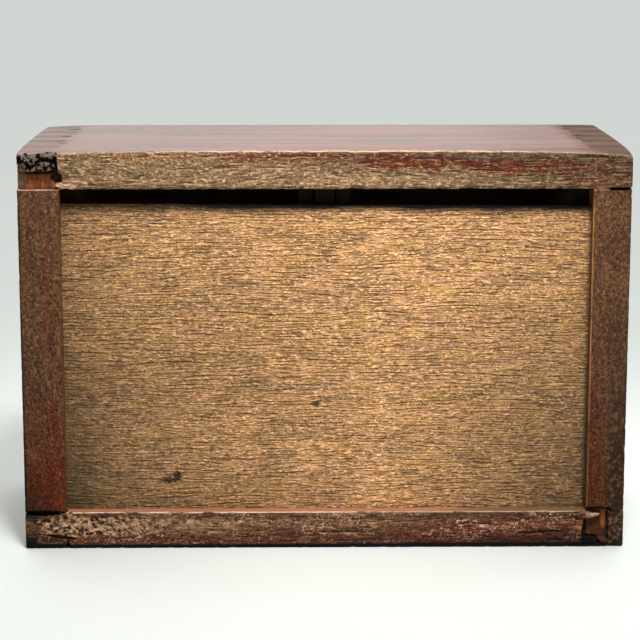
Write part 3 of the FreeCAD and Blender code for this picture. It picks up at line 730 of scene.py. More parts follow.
def slice_across(bm, axis, places, faces=None):
    """Cuts the whole mesh, or some of its faces, with planes square to an axis, at places in millimetres."""
    geometry = None if faces is None else with_edges(faces)
    square = Vector((axis == X, axis == Y, axis == Z))
    for place in places:
        whole = bm.verts[:] + bm.edges[:] + bm.faces[:] if geometry is None else geometry
        cut = bmesh.ops.bisect_plane(bm, geom=whole, dist=1e-7, plane_co=square * place * MM, plane_no=square)
        if geometry is not None:
            geometry = cut["geom"]
    return None if geometry is None else [g for g in geometry if isinstance(g, bmesh.types.BMFace)]


def with_edges(faces):
    """Faces together with their corners and edges."""
    edges = each_once(e for f in faces for e in f.edges)
    return each_once(v for e in edges for v in e.verts) + edges + list(faces)


def steps(low, high, step):
    """Even places strictly between two limits."""
    count = round((high - low) / step)
    return [low + (high - low) * i / count for i in range(1, count)]


def settle(bm, name, material, body, slot, *nodes, smooth=50):
    """Makes a piece of a finished bmesh. It rides on a body and stands for CAD nodes."""
    for face in bm.faces:
        face.smooth = True
    mesh = bpy.data.meshes.new(name)
    bm.to_mesh(mesh)
    bm.free()
    mesh.set_sharp_from_angle(angle=math.radians(smooth))
    mesh.materials.append(material)
    piece = bpy.data.objects.new(name, mesh)
    bpy.context.scene.collection.objects.link(piece)
    weighted = piece.modifiers.new("Even shading", "WEIGHTED_NORMAL")
    weighted.keep_sharp = True
    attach(piece, body)
    if nodes:
        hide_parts(*nodes)
    return piece


def soft(low, high, value):
    """0 at low, 1 at high, and a soft step from one to the other."""
    t = min(1.0, max(0.0, (value - low) / (high - low)))
    return t * t * (3 - 2 * t)


def along_points(points, place):
    """Reads a height off a smooth line through (place, height) points."""
    if place <= points[0][0]:
        return points[0][1]
    for (a, low), (b, high) in zip(points, points[1:]):
        if place <= b:
            return low + (high - low) * soft(a, b, place)
    return points[-1][1]


def lumps(x, z, size, seed):
    """Smooth noise between about -1 and 1, with features of a given size in millimetres."""
    return noise.noise(Vector((x / size, seed * 7.31, z / size)))


# ------------------------------------------------------------------ the case
# how far the top's upper face has fallen, in millimetres, along its back and its front edge
TOP_FALL_BACK = (
    (-120, 1.6), (-104, 0.8), (-90, 0.3), (-60, 0.0),
    (50, 0.0), (78, 0.25), (101, 0.9), (112, 1.4), (120, 2.3),
)
TOP_FALL_FRONT = ((-120, 0.75), (-108, 0.2), (-90, 0.0), (90, 0.0), (112, 0.05), (120, 0.25))
# the outer corners: left or right, top or bottom, and their radius at the back and at the front
ROUNDED_CORNERS = ((-1, 1, 0.9, 0.3), (1, 1, 0.9, 0.3), (-1, 0, 1.0, 1.0), (1, 0, 1.0, 1.0))

# chips and breaks in the back: middle x and z, half width and height, tilt in degrees, depth, how bare it is
TOP_CHIPS = (
    (-104.6, 149.8, 2.1, 2.5, -24, 4.4, 0.0),
    (-104.9, 155.2, 0.6, 3.4, 12, 2.0, 0.0),
    (-103.4, 151.4, 0.8, 0.6, 0, 0.2, 1.0),
    (-100.2, 146.6, 4.4, 1.3, -8, 0.5, 1.0),
    (-97.5, 148.4, 5.5, 0.6, -10, 0.4, 0.9),
    (-100.8, 155.6, 2.6, 0.6, -26, 0.5, 0.8),
    (-94.0, 152.6, 3.0, 0.5, -26, 0.5, 0.8),
    (115.5, 145.0, 4.8, 0.6, 0, 3.0, 0.0),
    (104.0, 158.2, 7.0, 0.8, 3, 0.8, 0.1),
)
BOTTOM_CHIPS = (
    (-112.8, 14.6, 6.9, 1.3, 0, 4.4, 0.0),
    (-105.2, 4.6, 6.0, 0.8, -8, 1.8, 0.0),
    (-103.2, 2.0, 0.5, 2.0, 8, 2.0, 0.0),
    (86.0, 6.2, 9.5, 0.45, 3, 1.2, 0.0),
    (64.5, 8.6, 3.3, 0.35, 2, 0.0, 1.0),
    (63.5, 9.5, 4.0, 0.35, 2, 0.8, 0.0),
    (92.0, 3.2, 5.0, 0.35, -3, 0.9, 0.0),
    (-44.0, 6.4, 3.4, 0.35, 0, 0.0, 0.9),
    (-44.0, 7.3, 4.0, 0.35, 0, 0.8, 0.0),
    (6.0, 6.6, 8.0, 0.3, 0, 0.9, 0.0),
    (10.0, 5.7, 7.0, 0.3, 0, 0.0, 0.5),
    (102.7, 9.1, 1.7, 1.9, 0, 1.0, 1.0),
    (104.4, 6.2, 1.0, 5.0, 0, 4.2, 0.0),
    (107.4, 2.6, 3.4, 1.5, 0, 4.0, 0.0),
    (102.6, 11.6, 2.0, 0.5, 0, 1.6, 0.0),
)
LEFT_CHIPS = ((-112.5, 15.2, 7.0, 0.6, 0, 2.0, 0.0),)
RIGHT_CHIPS = (
    (109.8, 15.4, 5.2, 1.1, 0, 4.2, 0.0),
    (115.3, 144.8, 4.8, 0.5, 0, 3.0, 0.0),
)

# the burnt remnant over the broken corner: its lower edge, as (x, z) points
CHAR_LOWER_EDGE = (
    (-120, 155.4), (-117.6, 155.2), (-116.0, 152.4), (-107.2, 152.2), (-105.4, 153.4), (-104.2, 157.0)
)
# the splintered patch at the bottom's left end: its lower and upper edge, and how much is left of it along x
PATCH_LOWER_EDGE = (
    (-117.4, 10.0), (-109.4, 6.2), (-100.2, 4.4), (-92.0, 5.6), (-82.0, 4.8), (-55.0, 7.5), (-20.0, 9.5)
)
PATCH_UPPER_EDGE = (
    (-117.4, 10.6), (-114.5, 12.3), (-106.6, 12.7), (-105.4, 15.5),
    (-101.0, 15.5), (-98.5, 13.4), (-50.0, 12.6),
)
PATCH_STRENGTH = ((-117.6, 0.0), (-116.6, 1.0), (-96.0, 1.0), (-74.0, 0.6), (-46.0, 0.35), (-16.0, 0.0))
# how bright the painted highlight on the top's arris is along x
TOP_ARRIS_HIGHLIGHT = ((-104, 0.45), (-60, 0.55), (-40, 1.0), (70, 1.0), (90, 0.45), (120, 0.35))

# what the mesh tells the finish about a face and about a corner of it
FACE_MARKS = ("back_face", "end_grain", "ledge", "torn")
VERTEX_MARKS = ("broken", "burnt", "ash", "hollow", "rubbed")

# node: grain axis, colour of its back edge, chips, and the limits of its back face across the grain
CASE_BOARDS = {
    "top_board": (X, "top_edge", TOP_CHIPS, (INNER_TOP, HEIGHT)),
    "bottom_board": (X, "bottom_edge", BOTTOM_CHIPS, (0, INNER_FLOOR)),
    "left_side_board": (Z, "side_edge", LEFT_CHIPS, (-HALF_WIDTH, -INNER_SIDE)),
    "right_side_board": (Z, "side_edge", RIGHT_CHIPS, (INNER_SIDE, HALF_WIDTH)),
}
BOARD_SEEDS = {node: number for number, node in enumerate(CASE_BOARDS, 1)}
# how much the carving may take off the back, in millimetres
DEEPEST_CUT = 4.6


def top_fall(x, ahead):
    """How far the top's upper face has fallen at a place, 0 being its back edge and 1 its front edge."""
    gentle = 0.6 * (1 - ahead) ** 5 if x > 0 else 0.45 * (1 - ahead) ** 8
    steep = (0.4 if x > 0 else 0.55) * (1 - ahead) ** 30
    return along_points(TOP_FALL_BACK, x) * (gentle + steep) + along_points(TOP_FALL_FRONT, x) * ahead ** 4


def case_form(x, y, z):
    """Where a point of the new case is on the worn one. The boards share it, so that they still meet."""
    wear = bpy.context.scene.tea_box_wear
    ahead = (y - BACK) / (2 * -BACK)
    fall = top_fall(x, ahead)
    fall += 0.5 * max(0.0, lumps(x, 0, 3.5, 41)) * soft(-49, BACK, y)
    z -= wear.crown * fall * max(0.0, (z - INNER_TOP) / (HEIGHT - INNER_TOP))
    if y < -52 and 144 < z < 146 and abs(x) < 104.5:
        z += 0.6 * max(0.0, lumps(x, 0, 4.5, 43) + 0.4 * lumps(x, 0, 1.6, 44)) * soft(-52, -53.5, y)
    # the lips beside the panel have been worn back from where they were cut
    if y < -48.5 and 14 < z < 146:
        if -106 < x < -104:
            x += 1.35
        elif 104 < x < 106:
            x -= 0.1
    for side, high, radius_back, radius_front in ROUNDED_CORNERS:
        radius = radius_back + (radius_front - radius_back) * ahead
        top = HEIGHT - top_fall(HALF_WIDTH * side, ahead) if high else 0
        across = side * x - (HALF_WIDTH - radius)
        up = z - (top - radius) if high else radius - z
        if across > 0 and up > 0:
            reach = math.hypot(across, up)
            if reach > radius:
                x -= side * across * (1 - radius / reach)
                z -= (1 if high else -1) * up * (1 - radius / reach)
    return x, y, z


def chip_at(chips, x, z):
    """Depth and bareness of the chips at a place on the back face."""
    depth = bare = 0.0
    for middle_x, middle_z, half_x, half_z, tilt, deep, bareness in chips:
        if abs(x - middle_x) > 1.6 * half_x + 2 or abs(z - middle_z) > 1.6 * half_z + 3:
            continue
        turn = math.radians(tilt)
        run = ((x - middle_x) * math.cos(turn) + (z - middle_z) * math.sin(turn)) / half_x
        rise = ((z - middle_z) * math.cos(turn) - (x - middle_x) * math.sin(turn)) / half_z
        edge = math.hypot(run, rise) + 0.28 * lumps(x, z, 1.5, middle_x) + 0.12 * lumps(x, z, 0.7, middle_z)
        inside = soft(1.12, 0.82, edge)
        depth = max(depth, deep * inside)
        bare = max(bare, bareness * inside)
    return depth, bare


def burnt_at(node, x, z):
    """How burnt a place on the back face is, how much grey ash lies on it and how deep it has crumbled."""
    if node == "top_board" and x < -103 and z > 151.5:
        edge = along_points(CHAR_LOWER_EDGE, x) + 0.5 * lumps(x, z, 1.8, 3)
        scorch = soft(0.0, 0.5, z - edge) * soft(-104.0, -104.8, x + 0.4 * lumps(x, z, 1.3, 4))
        crumble = lumps(x, z, 1.7, 11) + 0.6 * lumps(x, z, 0.8, 12)
        crumble += 0.3 * soft(155.6, 156.6, z) - 0.35 * soft(158.0, 158.7, z)
        deep = soft(0.02, 0.36, crumble)
        gone = 3.8 * soft(0.3, -0.2, z - edge) * soft(-104.0, -104.8, x)
        return scorch, 1 - deep, 0.2 + 2.2 * deep * scorch + gone
    outer = 0.0
    if node == "bottom_board":
        outer = soft(113.0, 113.8, x) * soft(17, 15, z)
    elif node == "right_side_board":
        outer = soft(111.5, 115, x) * soft(120, 15, z)
    if not outer:
        return 0.0, 0.0, 0.0
    crumble = lumps(x, z, 1.6, 15) + 0.6 * lumps(x, z, 0.8, 16)
    return outer * 0.85, soft(0.0, 0.5, crumble) * 0.55, outer * (0.35 - 0.6 * crumble)


def arris_highlight_at(node, x, z):
    """How bright the painted highlight on the arris at a place on the back is."""
    if node == "top_board":
        return soft(159.35, 159.8, z) * along_points(TOP_ARRIS_HIGHLIGHT, x)
    if node == "bottom_board":
        return soft(14.5, 14.75, z) * soft(-106, -104, x) * soft(105, 103, x) * (1 - 0.5 * soft(-20, 40, x))
    if node == "left_side_board":
        return soft(144.5, 144.8, z) * 0.8
    upper_end = 0.3 * soft(144.5, 144.8, z) * soft(113, 110, x)
    return max(upper_end, soft(105.7, 105.25, x) * (0.35 + 0.6 * soft(40, 90, z)))


def splintered_at(x, z):
    """Depth, bareness and painted shade in the hollows of the splintered patch at a place on the bottom
    board's back.
    """
    above, below = z - along_points(PATCH_LOWER_EDGE, x), along_points(PATCH_UPPER_EDGE, x) - z
    inside = soft(0, 0.5, above) * soft(0, 0.4, below) * along_points(PATCH_STRENGTH, x)
    lump = 0.8 * lumps(x, z * 1.2, 2.0, 21) + 0.7 * lumps(x, z, 1.0, 22)
    bare, hollow = soft(-0.35, 0.15, lump), soft(-0.1, -0.5, lump)
    return inside * (0.7 - 1.5 * lump), inside * bare, 0.6 * inside * hollow


def in_broken_joint(place):
    """Whether a place lies inside one of the two back corners where a tail has broken away."""
    left = place.x < -103.5 and 144.6 < place.z < 152.4
    return left or 103.5 < place.x < 114.6 and 2.5 < place.z < 14.9


def in_broken_corner(place):
    """Whether a place lies where the back is so broken that it needs a finer mesh."""
    if place.y >= SKIN:
        return False
    if place.z > 144:
        return place.x < -98
    return place.z < 16 and place.x < -72 or place.z < 17 and place.x > 99


def mark_faces(bm, node):
    """Tells the finish which faces are raw, end grain, ledges or torn."""
    axis = CASE_BOARDS[node][0]
    layers = [bm.faces.layers.float.new(mark) for mark in FACE_MARKS]
    bm.normal_update()
    for face in bm.faces:
        middle, normal = face.calc_center_median() / MM, face.normal
        in_skin = middle.y < SKIN
        by_panel = middle.y < -48.9 and 14 < middle.z < 146 and abs(middle.x) < 105.4
        lip = by_panel and max(abs(normal.z), abs(normal.x)) > 0.8
        notch = in_skin and not lip and axis == X and in_broken_joint(middle)
        marks = (
            in_skin and (normal.y < -0.35 or notch),
            abs(normal[axis]) > 0.8 and not notch,
            lip,
            notch and (middle.y > -51.2 or normal.y > -0.9),
        )
        for layer, mark in zip(layers, marks):
            face[layer] = 1.0 if mark else 0.0


def worn_depth(run, cross, to_edge, seed, relief):
    """How deep plain wear goes at a place along and across the grain, at a distance from the edge."""
    def rough(long, short, shift):
        return noise.noise(Vector((run / long, seed + shift, cross / short)))

    def nicks(long, shift, least):
        return max(0.0, noise.noise(Vector((run / long, seed + shift, 0))) - least)

    depth = relief * (0.35 + (rough(5.0, 0.9, 0) * 0.5 + rough(2.2, 0.6, 5) * 0.4))
    near = max(0.0, 1 - max(0.0, to_edge) / 1.5)
    return depth + near * near * (0.45 + (nicks(3.2, 9, 0.05) * 1.6 + nicks(9.0, 13, 0.0) * 0.7))


def wear_board(bm, node):
    """Carves the back of a case board and marks the mesh with what happened where."""
    axis, _, chips, (low, high) = CASE_BOARDS[node]
    wear = bpy.context.scene.tea_box_wear
    mark_faces(bm, node)
    broken, burnt, ash, hollow, rubbed = (bm.verts.layers.float.new(mark) for mark in VERTEX_MARKS)
    for vert in bm.verts:
        x, y, z = vert.co / MM
        if y < SKIN + 0.01:
            run, cross = (x, z) if axis == X else (z, x)
            to_edge = min(cross - low, high - cross)
            depth = worn_depth(run, cross, to_edge, BOARD_SEEDS[node], wear.grain_relief / MM)
            chip, bare = chip_at(chips, x, z)
            chip *= wear.chips
            # painted shade that deepens with the chips
            shade = soft(0.8, 2.4, chip) * (1 - bare)
            if node == "bottom_board" and x < -14:
                patch, bare_patch, shade_patch = splintered_at(x, z)
                depth += patch * wear.chips
                bare, shade = max(bare, bare_patch), max(shade, shade_patch)
            scorch, ashes, crumbled = burnt_at(node, x, z)
            depth += crumbled * wear.chips + bare * 0.4 * lumps(x, z * 1.4, 1.0, 22)
            depth = max(0.0, depth + chip)
            keep = (SKIN - y) / (SKIN - BACK)
            y += min(depth, DEEPEST_CUT) * keep
            if y > -51.6 and keep > 0.15:
                y += 0.35 * lumps(x * 1.5, z * 0.6, 1.4, 31)
            # painted shade: the broken corner of the top is dark inside and under the char
            if node == "top_board":
                if vert.co.y / MM > -51.6 and x > -116.8:
                    shade = max(shade, soft(150.0, 151.2, z + 0.5 * lumps(x, 0, 2.0, 6)))
                char_edge = along_points(CHAR_LOWER_EDGE, x) + 0.2 + 0.5 * lumps(x, 0, 2.0, 7)
                if -116.6 < x < -104.5 and 151.3 < z < char_edge:
                    shade = 1.0
            for layer, value in ((broken, bare), (burnt, scorch), (ash, ashes), (hollow, shade)):
                vert[layer] = value
            vert[rubbed] = arris_highlight_at(node, x, z) if keep > 0.85 else 0.0
        vert.co = Vector(case_form(x, y, z)) * MM


# where the boards are cut across their depth, closer together towards the back
CUTS_IN_DEPTH = [-54.7, -54.2, -53.4, -52.2, -51.2, SKIN, -48, -46, -43, 54.2]


def beside_edges(low, high):
    """Places of the cuts that hold the shape of a board's rounded edges."""
    return [low + 0.8, low + 1.8, high - 1.8, high - 0.8]


def runs_along(edge, axis, shortest):
    """Whether an edge runs along an axis and reaches along it for so many millimetres."""
    reach = abs((edge.verts[0].co - edge.verts[1].co)[axis])
    return reach > 0.9 * edge.calc_length() > shortest * MM


class TEABOX_OT_case_boards(bpy.types.Operator):
    """Shape, wear and finish the four dovetailed boards of the case"""

    bl_idname = "tea_box.case_boards"
    bl_label = "Case boards"

    def execute(self, context):
        for node, (axis, edge, _, across) in CASE_BOARDS.items():
            bm = merged_copy(node)
            ease_edges(bm, context.scene.tea_box_wear.eased_edge, 2)
            ends, cross = ((-HALF_WIDTH, HALF_WIDTH), Z) if axis == X else ((0, HEIGHT), X)
            slice_across(bm, axis, beside_edges(*ends) + steps(*ends, 6))
            slice_across(bm, Y, CUTS_IN_DEPTH + steps(-50, 54, 13))
            slice_across(bm, cross, beside_edges(*across))
            skin = [f for f in bm.faces if max(v.co.y for v in f.verts) < (SKIN + 0.01) * MM]
            skin = slice_across(bm, cross, steps(*across, 0.6), skin)
            seams = each_once(e for f in skin for e in f.edges if runs_along(e, axis, 1.2))
            bmesh.ops.subdivide_edges(bm, edges=seams, cuts=9, use_grid_fill=True)
            raw = [f for f in bm.faces if f.normal.y < -0.9 and in_broken_corner(f.calc_center_median() / MM)]
            fine = each_once(e for f in raw for e in f.edges)
            bmesh.ops.subdivide_edges(bm, edges=fine, cuts=1, use_grid_fill=True)
            wear_board(bm, node)
            material = finish(case_wood, node, axis, getattr(context.scene.tea_box_colours, edge))
            settle(bm, f"worn_{node}", material, "case", "case_wood", node)
        return {"FINISHED"}


class TEABOX_OT_splinter(bpy.types.Operator):
    """Leave a torn splinter of the bottom board across its broken corner"""

    bl_idname = "tea_box.splinter"
    bl_label = "Torn splinter"

    def execute(self, context):
        bm = bmesh.new()
        thick, thin, reach = 2.3 * MM, 0.5 * MM, 8.0 * MM
        bmesh.ops.create_cone(bm, cap_ends=True, segments=14, radius1=thick, radius2=thin, depth=reach)
        long_edges = [e for e in bm.edges if e.calc_length() > reach / 2]
        bmesh.ops.subdivide_edges(bm, edges=long_edges, cuts=14)
        flattened = Matrix.Diagonal((1, 0.6, 1, 1)) @ Matrix.Rotation(math.radians(92), 4, "Y")
        place = Matrix.Translation(Vector((106.4, -53.1, 12.9)) * MM)
        bmesh.ops.transform(bm, matrix=place @ flattened, verts=bm.verts)
        layers = {mark: bm.verts.layers.float.new(mark) for mark in VERTEX_MARKS}
        for vert in bm.verts:
            x, y, z = vert.co / MM
            vert.co.z += 0.5 * MM * lumps(x, y, 1.6, 2)
            vert.co.y += 0.4 * MM * lumps(x, z, 1.2, 5)
            vert[layers["broken"]] = 0.85
            # painted shade along the splinter's lower side
            vert[layers["hollow"]] = 0.5 * soft(13.0, 12.0, z)
        marks = {mark: bm.faces.layers.float.new(mark) for mark in FACE_MARKS}
        for face in bm.faces:
            face[marks["back_face"]] = 1.0
        material = finish(case_wood, "bottom_board", X, context.scene.tea_box_colours.bottom_edge)
        settle(bm, "torn_splinter", material, "case", "case_wood")
        return {"FINISHED"}


class TEABOX_OT_inner_boards(bpy.types.Operator):
    """Ease and finish the shelf, the divider and the drawer stops"""

    bl_idname = "tea_box.inner_boards"
    bl_label = "Inner boards"

    def execute(self, context):
        tint = context.scene.tea_box_colours
        for node, axis in (("drawer_shelf", X), ("drawer_divider", Z), ("drawer_stops", X)):
            bm = merged_copy(node)
            ease_edges(bm, context.scene.tea_box_wear.eased_edge, 2)
            wood = finish(plain_wood, f"inner_wood_{'xyz'[axis]}", tint.inner_wood, axis, 0.55)
            settle(bm, f"eased_{node}", wood, "case", "inner_wood", node)
        return {"FINISHED"}


class TEABOX_OT_back_panel(bpy.types.Operator):
    """Finish the raw loose panel in the back of the case"""

    bl_idname = "tea_box.back_panel"
    bl_label = "Back panel"

    def execute(self, context):
        bm = merged_copy("back_panel")
        ease_edges(bm, 0.35 * MM, 2)
        slice_across(bm, X, steps(-110, 110, 3.0))
        # the upper edge isn't quite straight
        for vert in bm.verts:
            x, _, z = vert.co / MM
            if z > 130:
                vert.co.z -= 0.35 * MM * (1 + noise.noise(Vector((x / 14, 0, 0))))
        settle(bm, "raw_back_panel", finish(panel_wood), "back_panel", "panel_wood", "back_panel")
        return {"FINISHED"}


# ------------------------------------------------------------------ the drawers
DRAWERS = ("upper_left", "upper_right", "lower")


class TEABOX_OT_drawers(bpy.types.Operator):
    """Ease and finish the wooden parts of the three drawers"""

    bl_idname = "tea_box.drawers"
    bl_label = "Drawers"

    def execute(self, context):
        tint = context.scene.tea_box_colours
        width = context.scene.tea_box_wear.drawer_edge
        front = finish(plain_wood, "drawer_front_wood", tint.front_wood, X, 0.28, 0.9, 0.5, 0.4)
        across = finish(plain_wood, "drawer_wood_across", tint.drawer_wood, X, 0.6)
        inward = finish(plain_wood, "drawer_wood_inward", tint.drawer_wood, Y, 0.6)
        cane = finish(bamboo_wood)
        for drawer in DRAWERS:
            for part, material, slot in (
                ("front", front, "front_wood"),
                ("back", across, "drawer_wood"),
                ("bottom", across, "drawer_wood"),
                ("left_side", inward, "drawer_wood"),
                ("right_side", inward, "drawer_wood"),
                ("pegs", cane, "bamboo"),
            ):
                node = f"{drawer}_drawer_{part}"
                bm = merged_copy(node)
                if part == "front":
                    ease_edges(bm, width, 3, 5.0)
                elif part != "pegs":
                    ease_edges(bm, width * 0.5, 2, 5.0)
                settle(bm, f"eased_{node}", material, f"{drawer}_drawer", slot, node)
        return {"FINISHED"}


# ------------------------------------------------------------------ the pulls
def wire_ring(bm, centre, axis, ring_radius, wire_radius, turns, sides):
    """Spins a small circle round an axis into a ring of wire. Its radii are in millimetres."""
    beside = Vector((ring_radius, 0, 0)) if axis.y else Vector((0, ring_radius, 0))
    place = Matrix.Translation(centre + beside * MM)
    circle = bmesh.ops.create_circle(
        bm, cap_ends=False, segments=sides, radius=wire_radius * MM, matrix=place
    )["verts"]
    bmesh.ops.spin(
        bm,
        geom=circle + each_once(e for v in circle for e in v.link_edges),
        cent=centre,
        axis=axis,
        angle=math.tau,
        steps=turns,
        use_merge=True,
        use_duplicate=False,
    )


def pull_middle(drawer):
    """Where the middle of a drawer's pull is across and up."""
    low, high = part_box(f"{drawer}_pull_plate")
    return (low.x + high.x) / 2, (low.z + high.z) / 2


PLATE_RADIUS = 8.0
PLATE_THICKNESS = 0.45
# the plate's relief from its rim inwards: how far in each step goes, and how much it rises
PLATE_STEPS = ((0.25, 0.2), (0.35, 0.1), (2.0, 0.05), (1.6, -0.05), (0.4, 0.05), (0.25, 0.4), (0.5, 0.2))
SCALLOPS = 12
# the scallops' notches fade out at this radius, and at the rim they pull it in by this share
SCALLOP_INNER_RADIUS = 3.6
SCALLOP_PULL = 0.085


def move_faces(bm, faces, rise):
    """Moves faces towards the front by so many millimetres."""
    bmesh.ops.translate(bm, verts=each_once(v for f in faces for v in f.verts), vec=(0, rise * MM, 0))


class TEABOX_OT_pull_plates(bpy.types.Operator):
    """Make the scalloped brass plates behind the rings"""

    bl_idname = "tea_box.pull_plates"
    bl_label = "Pull plates"

    def execute(self, context):
        for drawer in DRAWERS:
            middle_x, middle_z = pull_middle(drawer)
            node = f"{drawer}_pull_plate"
            low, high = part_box(node)
            bm = bmesh.new()
            stand = Matrix.Rotation(math.radians(-90), 4, "X")
            place = Matrix.Translation((middle_x, low.y, middle_z)) @ stand
            bmesh.ops.create_circle(bm, cap_ends=True, segments=144, radius=PLATE_RADIUS * MM, matrix=place)
            grown = bmesh.ops.extrude_face_region(bm, geom=bm.faces[:], use_keep_orig=True)
            top = [g for g in grown["geom"] if isinstance(g, bmesh.types.BMFace)]
            move_faces(bm, top, PLATE_THICKNESS)
            for inwards, rise in PLATE_STEPS:
                bmesh.ops.inset_region(bm, faces=top, thickness=inwards * MM, use_even_offset=True)
                move_faces(bm, top, rise)
            for vert in bm.verts:
                across, up = vert.co.x - middle_x, vert.co.z - middle_z
                outwards = math.hypot(across, up) / MM - SCALLOP_INNER_RADIUS
                if outwards > 0:
                    notch = (0.5 + 0.5 * math.cos(SCALLOPS * math.atan2(up, across))) ** 2.5
                    keep = 1 - SCALLOP_PULL * notch * outwards / (PLATE_RADIUS - SCALLOP_INNER_RADIUS)
                    vert.co.x, vert.co.z = middle_x + across * keep, middle_z + up * keep
                vert.co.y = min(vert.co.y, high.y)
            bmesh.ops.recalc_face_normals(bm, faces=bm.faces)
            brass = finish(old_brass)
            settle(bm, f"scalloped_plate_{drawer}", brass, f"{drawer}_drawer", "brass", node, smooth=30)
        return {"FINISHED"}


EYE_RADIUS = 2.0
EYE_WIRE = 0.6
SHANK_RADIUS = 1.0
# a leg's length, thickness and width, how far its middle is from the pin's, and how round its edges are
LEG_SIZE = (7.6, 0.9, 1.6)
LEG_REACH = 4.2
LEG_ROUNDING = 0.22


def bent_leg(bm, middle_x, middle_z, inner_y, side):
    """Adds one of a split pin's legs, tapered and lying flat behind the front board."""
    size = Matrix.Diagonal((*(measure * MM for measure in LEG_SIZE), 1))
    lie = (middle_x + side * LEG_REACH * MM, inner_y + LEG_SIZE[Y] / 2 * MM, middle_z)
    leg = bmesh.ops.create_cube(bm, size=1.0, matrix=Matrix.Translation(lie) @ size)["verts"]
    edges = each_once(e for v in leg for e in v.link_edges)
    rounded = bevel(bm, edges, LEG_ROUNDING * MM, 2)["faces"]
    for vert in each_once(v for f in rounded for v in f.verts):
        out = abs(vert.co.x - middle_x) / MM
        vert.co.z = middle_z + (vert.co.z - middle_z) * (1 - 0.5 * soft(4.5, 8.0, out))


class TEABOX_OT_pull_pins(bpy.types.Operator):
    """Make the split pins: an eye, a shank through the front and two legs bent over inside"""

    bl_idname = "tea_box.pull_pins"
    bl_label = "Pull pins"

    def execute(self, context):
        for drawer in DRAWERS:
            middle_x, middle_z = pull_middle(drawer)
            node = f"{drawer}_pull_pin"
            low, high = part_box(node)
            bm = bmesh.new()
            eye = Vector((middle_x, high.y - (EYE_RADIUS + EYE_WIRE) * MM, middle_z))
            wire_ring(bm, eye, Vector((1, 0, 0)), EYE_RADIUS, EYE_WIRE, 48, 14)
            depth = eye.y - EYE_RADIUS * MM - low.y
            lie = Matrix.Rotation(math.radians(90), 4, "X")
            place = Matrix.Translation((middle_x, low.y + depth / 2, middle_z)) @ lie
            thick = SHANK_RADIUS * MM
            bmesh.ops.create_cone(
                bm, cap_ends=True, segments=24, radius1=thick, radius2=thick, depth=depth, matrix=place
            )
            for side in (-1, 1):
                bent_leg(bm, middle_x, middle_z, low.y, side)
            bmesh.ops.recalc_face_normals(bm, faces=bm.faces)
            settle(bm, f"split_pin_{drawer}", finish(old_brass), f"{drawer}_drawer", "brass", node)
        return {"FINISHED"}


RING_RADIUS = 9.0
RING_WIRE = 1.0


class TEABOX_OT_pull_rings(bpy.types.Operator):
    """Make the wire rings that hang in the pins' eyes"""

    bl_idname = "tea_box.pull_rings"
    bl_label = "Pull rings"

    def execute(self, context):
        for drawer in DRAWERS:
            node = f"{drawer}_pull_ring"
            low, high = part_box(node)
            bm = bmesh.new()
            wire_ring(bm, (low + high) / 2, Vector((0, 1, 0)), RING_RADIUS, RING_WIRE, 96, 18)
            bmesh.ops.recalc_face_normals(bm, faces=bm.faces)
            settle(bm, f"wire_ring_{drawer}", finish(old_brass), f"{drawer}_ring", "brass", node)
        return {"FINISHED"}


# ------------------------------------------------------------------ the stage
ROOM_LIGHT = paint(236, 240, 238)


def soft_light(name, place, target, size, power, spread):
    """A round area light that faces a target. Places and size are in millimetres."""
    lamp = bpy.data.lights.new(name, "AREA")
    lamp.shape, lamp.size, lamp.energy = "DISK", size * MM, power
    lamp.spread = math.radians(spread)
    stand = bpy.data.objects.new(name, lamp)
    stand.location = Vector(place) * MM
    stand.rotation_euler = (Vector(target) - Vector(place)).to_track_quat("-Z", "Y").to_euler()
    bpy.context.scene.collection.objects.link(stand)


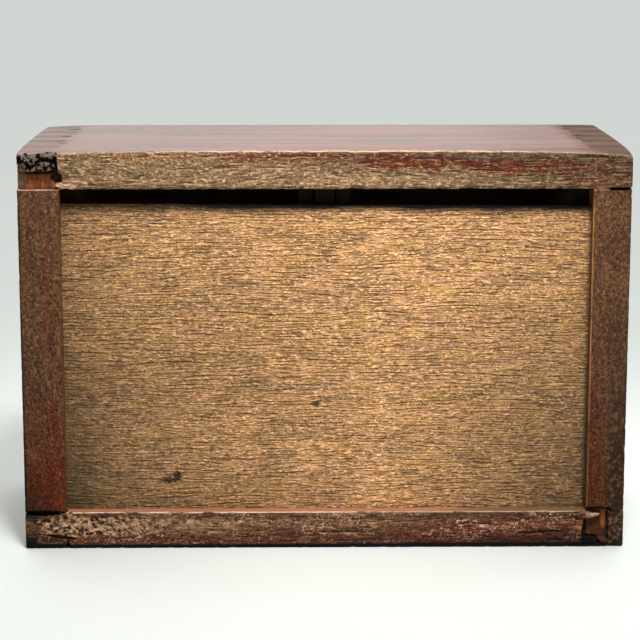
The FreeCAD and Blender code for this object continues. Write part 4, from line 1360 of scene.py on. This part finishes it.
class TEABOX_OT_stage(bpy.types.Operator):
    """Set up the camera, the plain floor and the soft lights"""

    bl_idname = "tea_box.stage"
    bl_label = "Stage"

    def execute(self, context):
        scene = context.scene
        stage = scene.tea_box_stage
        camera = bpy.data.objects.new("camera", bpy.data.cameras.new("camera"))
        camera.data.lens, camera.data.sensor_width = stage.focal_length, 36
        camera.data.clip_start, camera.data.clip_end = 0.01, 50
        camera.location = stage.camera_place
        camera.rotation_euler = (math.pi / 2 - stage.camera_dip, 0, -stage.camera_turn)
        scene.collection.objects.link(camera)
        scene.camera = camera

        bm = bmesh.new()
        bmesh.ops.create_circle(bm, cap_ends=True, segments=96, radius=8.0)
        mesh = bpy.data.meshes.new("floor")
        bm.to_mesh(mesh)
        bm.free()
        cloth = Finish("pale_floor")
        cloud = cloth.grain((160, 160, 160), 1.0, detail=2.0)
        cloth.surface(Base_Color=cloth.shade(stage.floor_colour, 0.97 + cloud * 0.06), Roughness=0.75)
        mesh.materials.append(cloth.material)
        floor = bpy.data.objects.new("floor", mesh)
        scene.collection.objects.link(floor)

        world = bpy.data.worlds.new("pale_room")
        world.use_nodes = True
        room = Finish("pale_room", world.node_tree)
        direction = room.add("ShaderNodeTexCoord", {}, {}, "Generated")
        ahead, height = (room.add("ShaderNodeSeparateXYZ", {}, {0: direction}, part) for part in (Y, Z))
        # the room is brighter low down and on the drawers' side
        low_down = 0.28 + room.between(height, 0.5, 0.16) * 0.72
        in_front = 0.6 + room.between(ahead, -0.35, 0.25) * 0.4
        light = {"Color": ROOM_LIGHT, "Strength": low_down * in_front * stage.sky_strength}
        room.fill(world.node_tree.nodes["Background"], light)
        scene.world = world

        soft_light("key_light", (260, -620, 1050), (20, -40, 90), 420, stage.key_power, 120)
        soft_light("front_lamp", (60, -480, 760), (14, -50, 110), 160, stage.lamp_power, 36)
        sun = bpy.data.lights.new("window", "SUN")
        sun.energy, sun.angle = stage.window_strength, math.radians(70)
        window = bpy.data.objects.new("window", sun)
        window.rotation_euler = (math.radians(-32), 0, 0)
        scene.collection.objects.link(window)
        scene.view_settings.view_transform = "Standard"
        return {"FINISHED"}


# ------------------------------------------------------------------ add-on
PIECES = (
    TEABOX_OT_stage,
    TEABOX_OT_case_boards,
    TEABOX_OT_splinter,
    TEABOX_OT_back_panel,
    TEABOX_OT_inner_boards,
    TEABOX_OT_drawers,
    TEABOX_OT_pull_plates,
    TEABOX_OT_pull_pins,
    TEABOX_OT_pull_rings,
)
SETTINGS = {"tea_box_wear": TeaBoxWear, "tea_box_colours": TeaBoxColours, "tea_box_stage": TeaBoxStage}


class TEABOX_PT_sidebar(bpy.types.Panel):
    """The box's pieces and settings"""

    bl_idname = "TEABOX_PT_sidebar"
    bl_label = "Tea Box"
    bl_space_type = "VIEW_3D"
    bl_region_type = "UI"
    bl_category = "Tea Box"

    def draw(self, context):
        for operator in PIECES:
            self.layout.operator(operator.bl_idname)
        for name, group in SETTINGS.items():
            box = self.layout.box()
            for setting in group.__annotations__:
                box.prop(getattr(context.scene, name), setting)


def register():
    for cls in (*SETTINGS.values(), *PIECES, TEABOX_PT_sidebar):
        bpy.utils.register_class(cls)
    for name, group in SETTINGS.items():
        setattr(bpy.types.Scene, name, bpy.props.PointerProperty(type=group))


def unregister():
    for name in SETTINGS:
        delattr(bpy.types.Scene, name)
    for cls in (TEABOX_PT_sidebar, *reversed(PIECES), *reversed(SETTINGS.values())):
        bpy.utils.unregister_class(cls)


def main():
    """Makes every piece in order."""
    register()
    for operator in PIECES:
        group, name = operator.bl_idname.split(".")
        getattr(getattr(bpy.ops, group), name)()


if __name__ == "__main__":
    main()
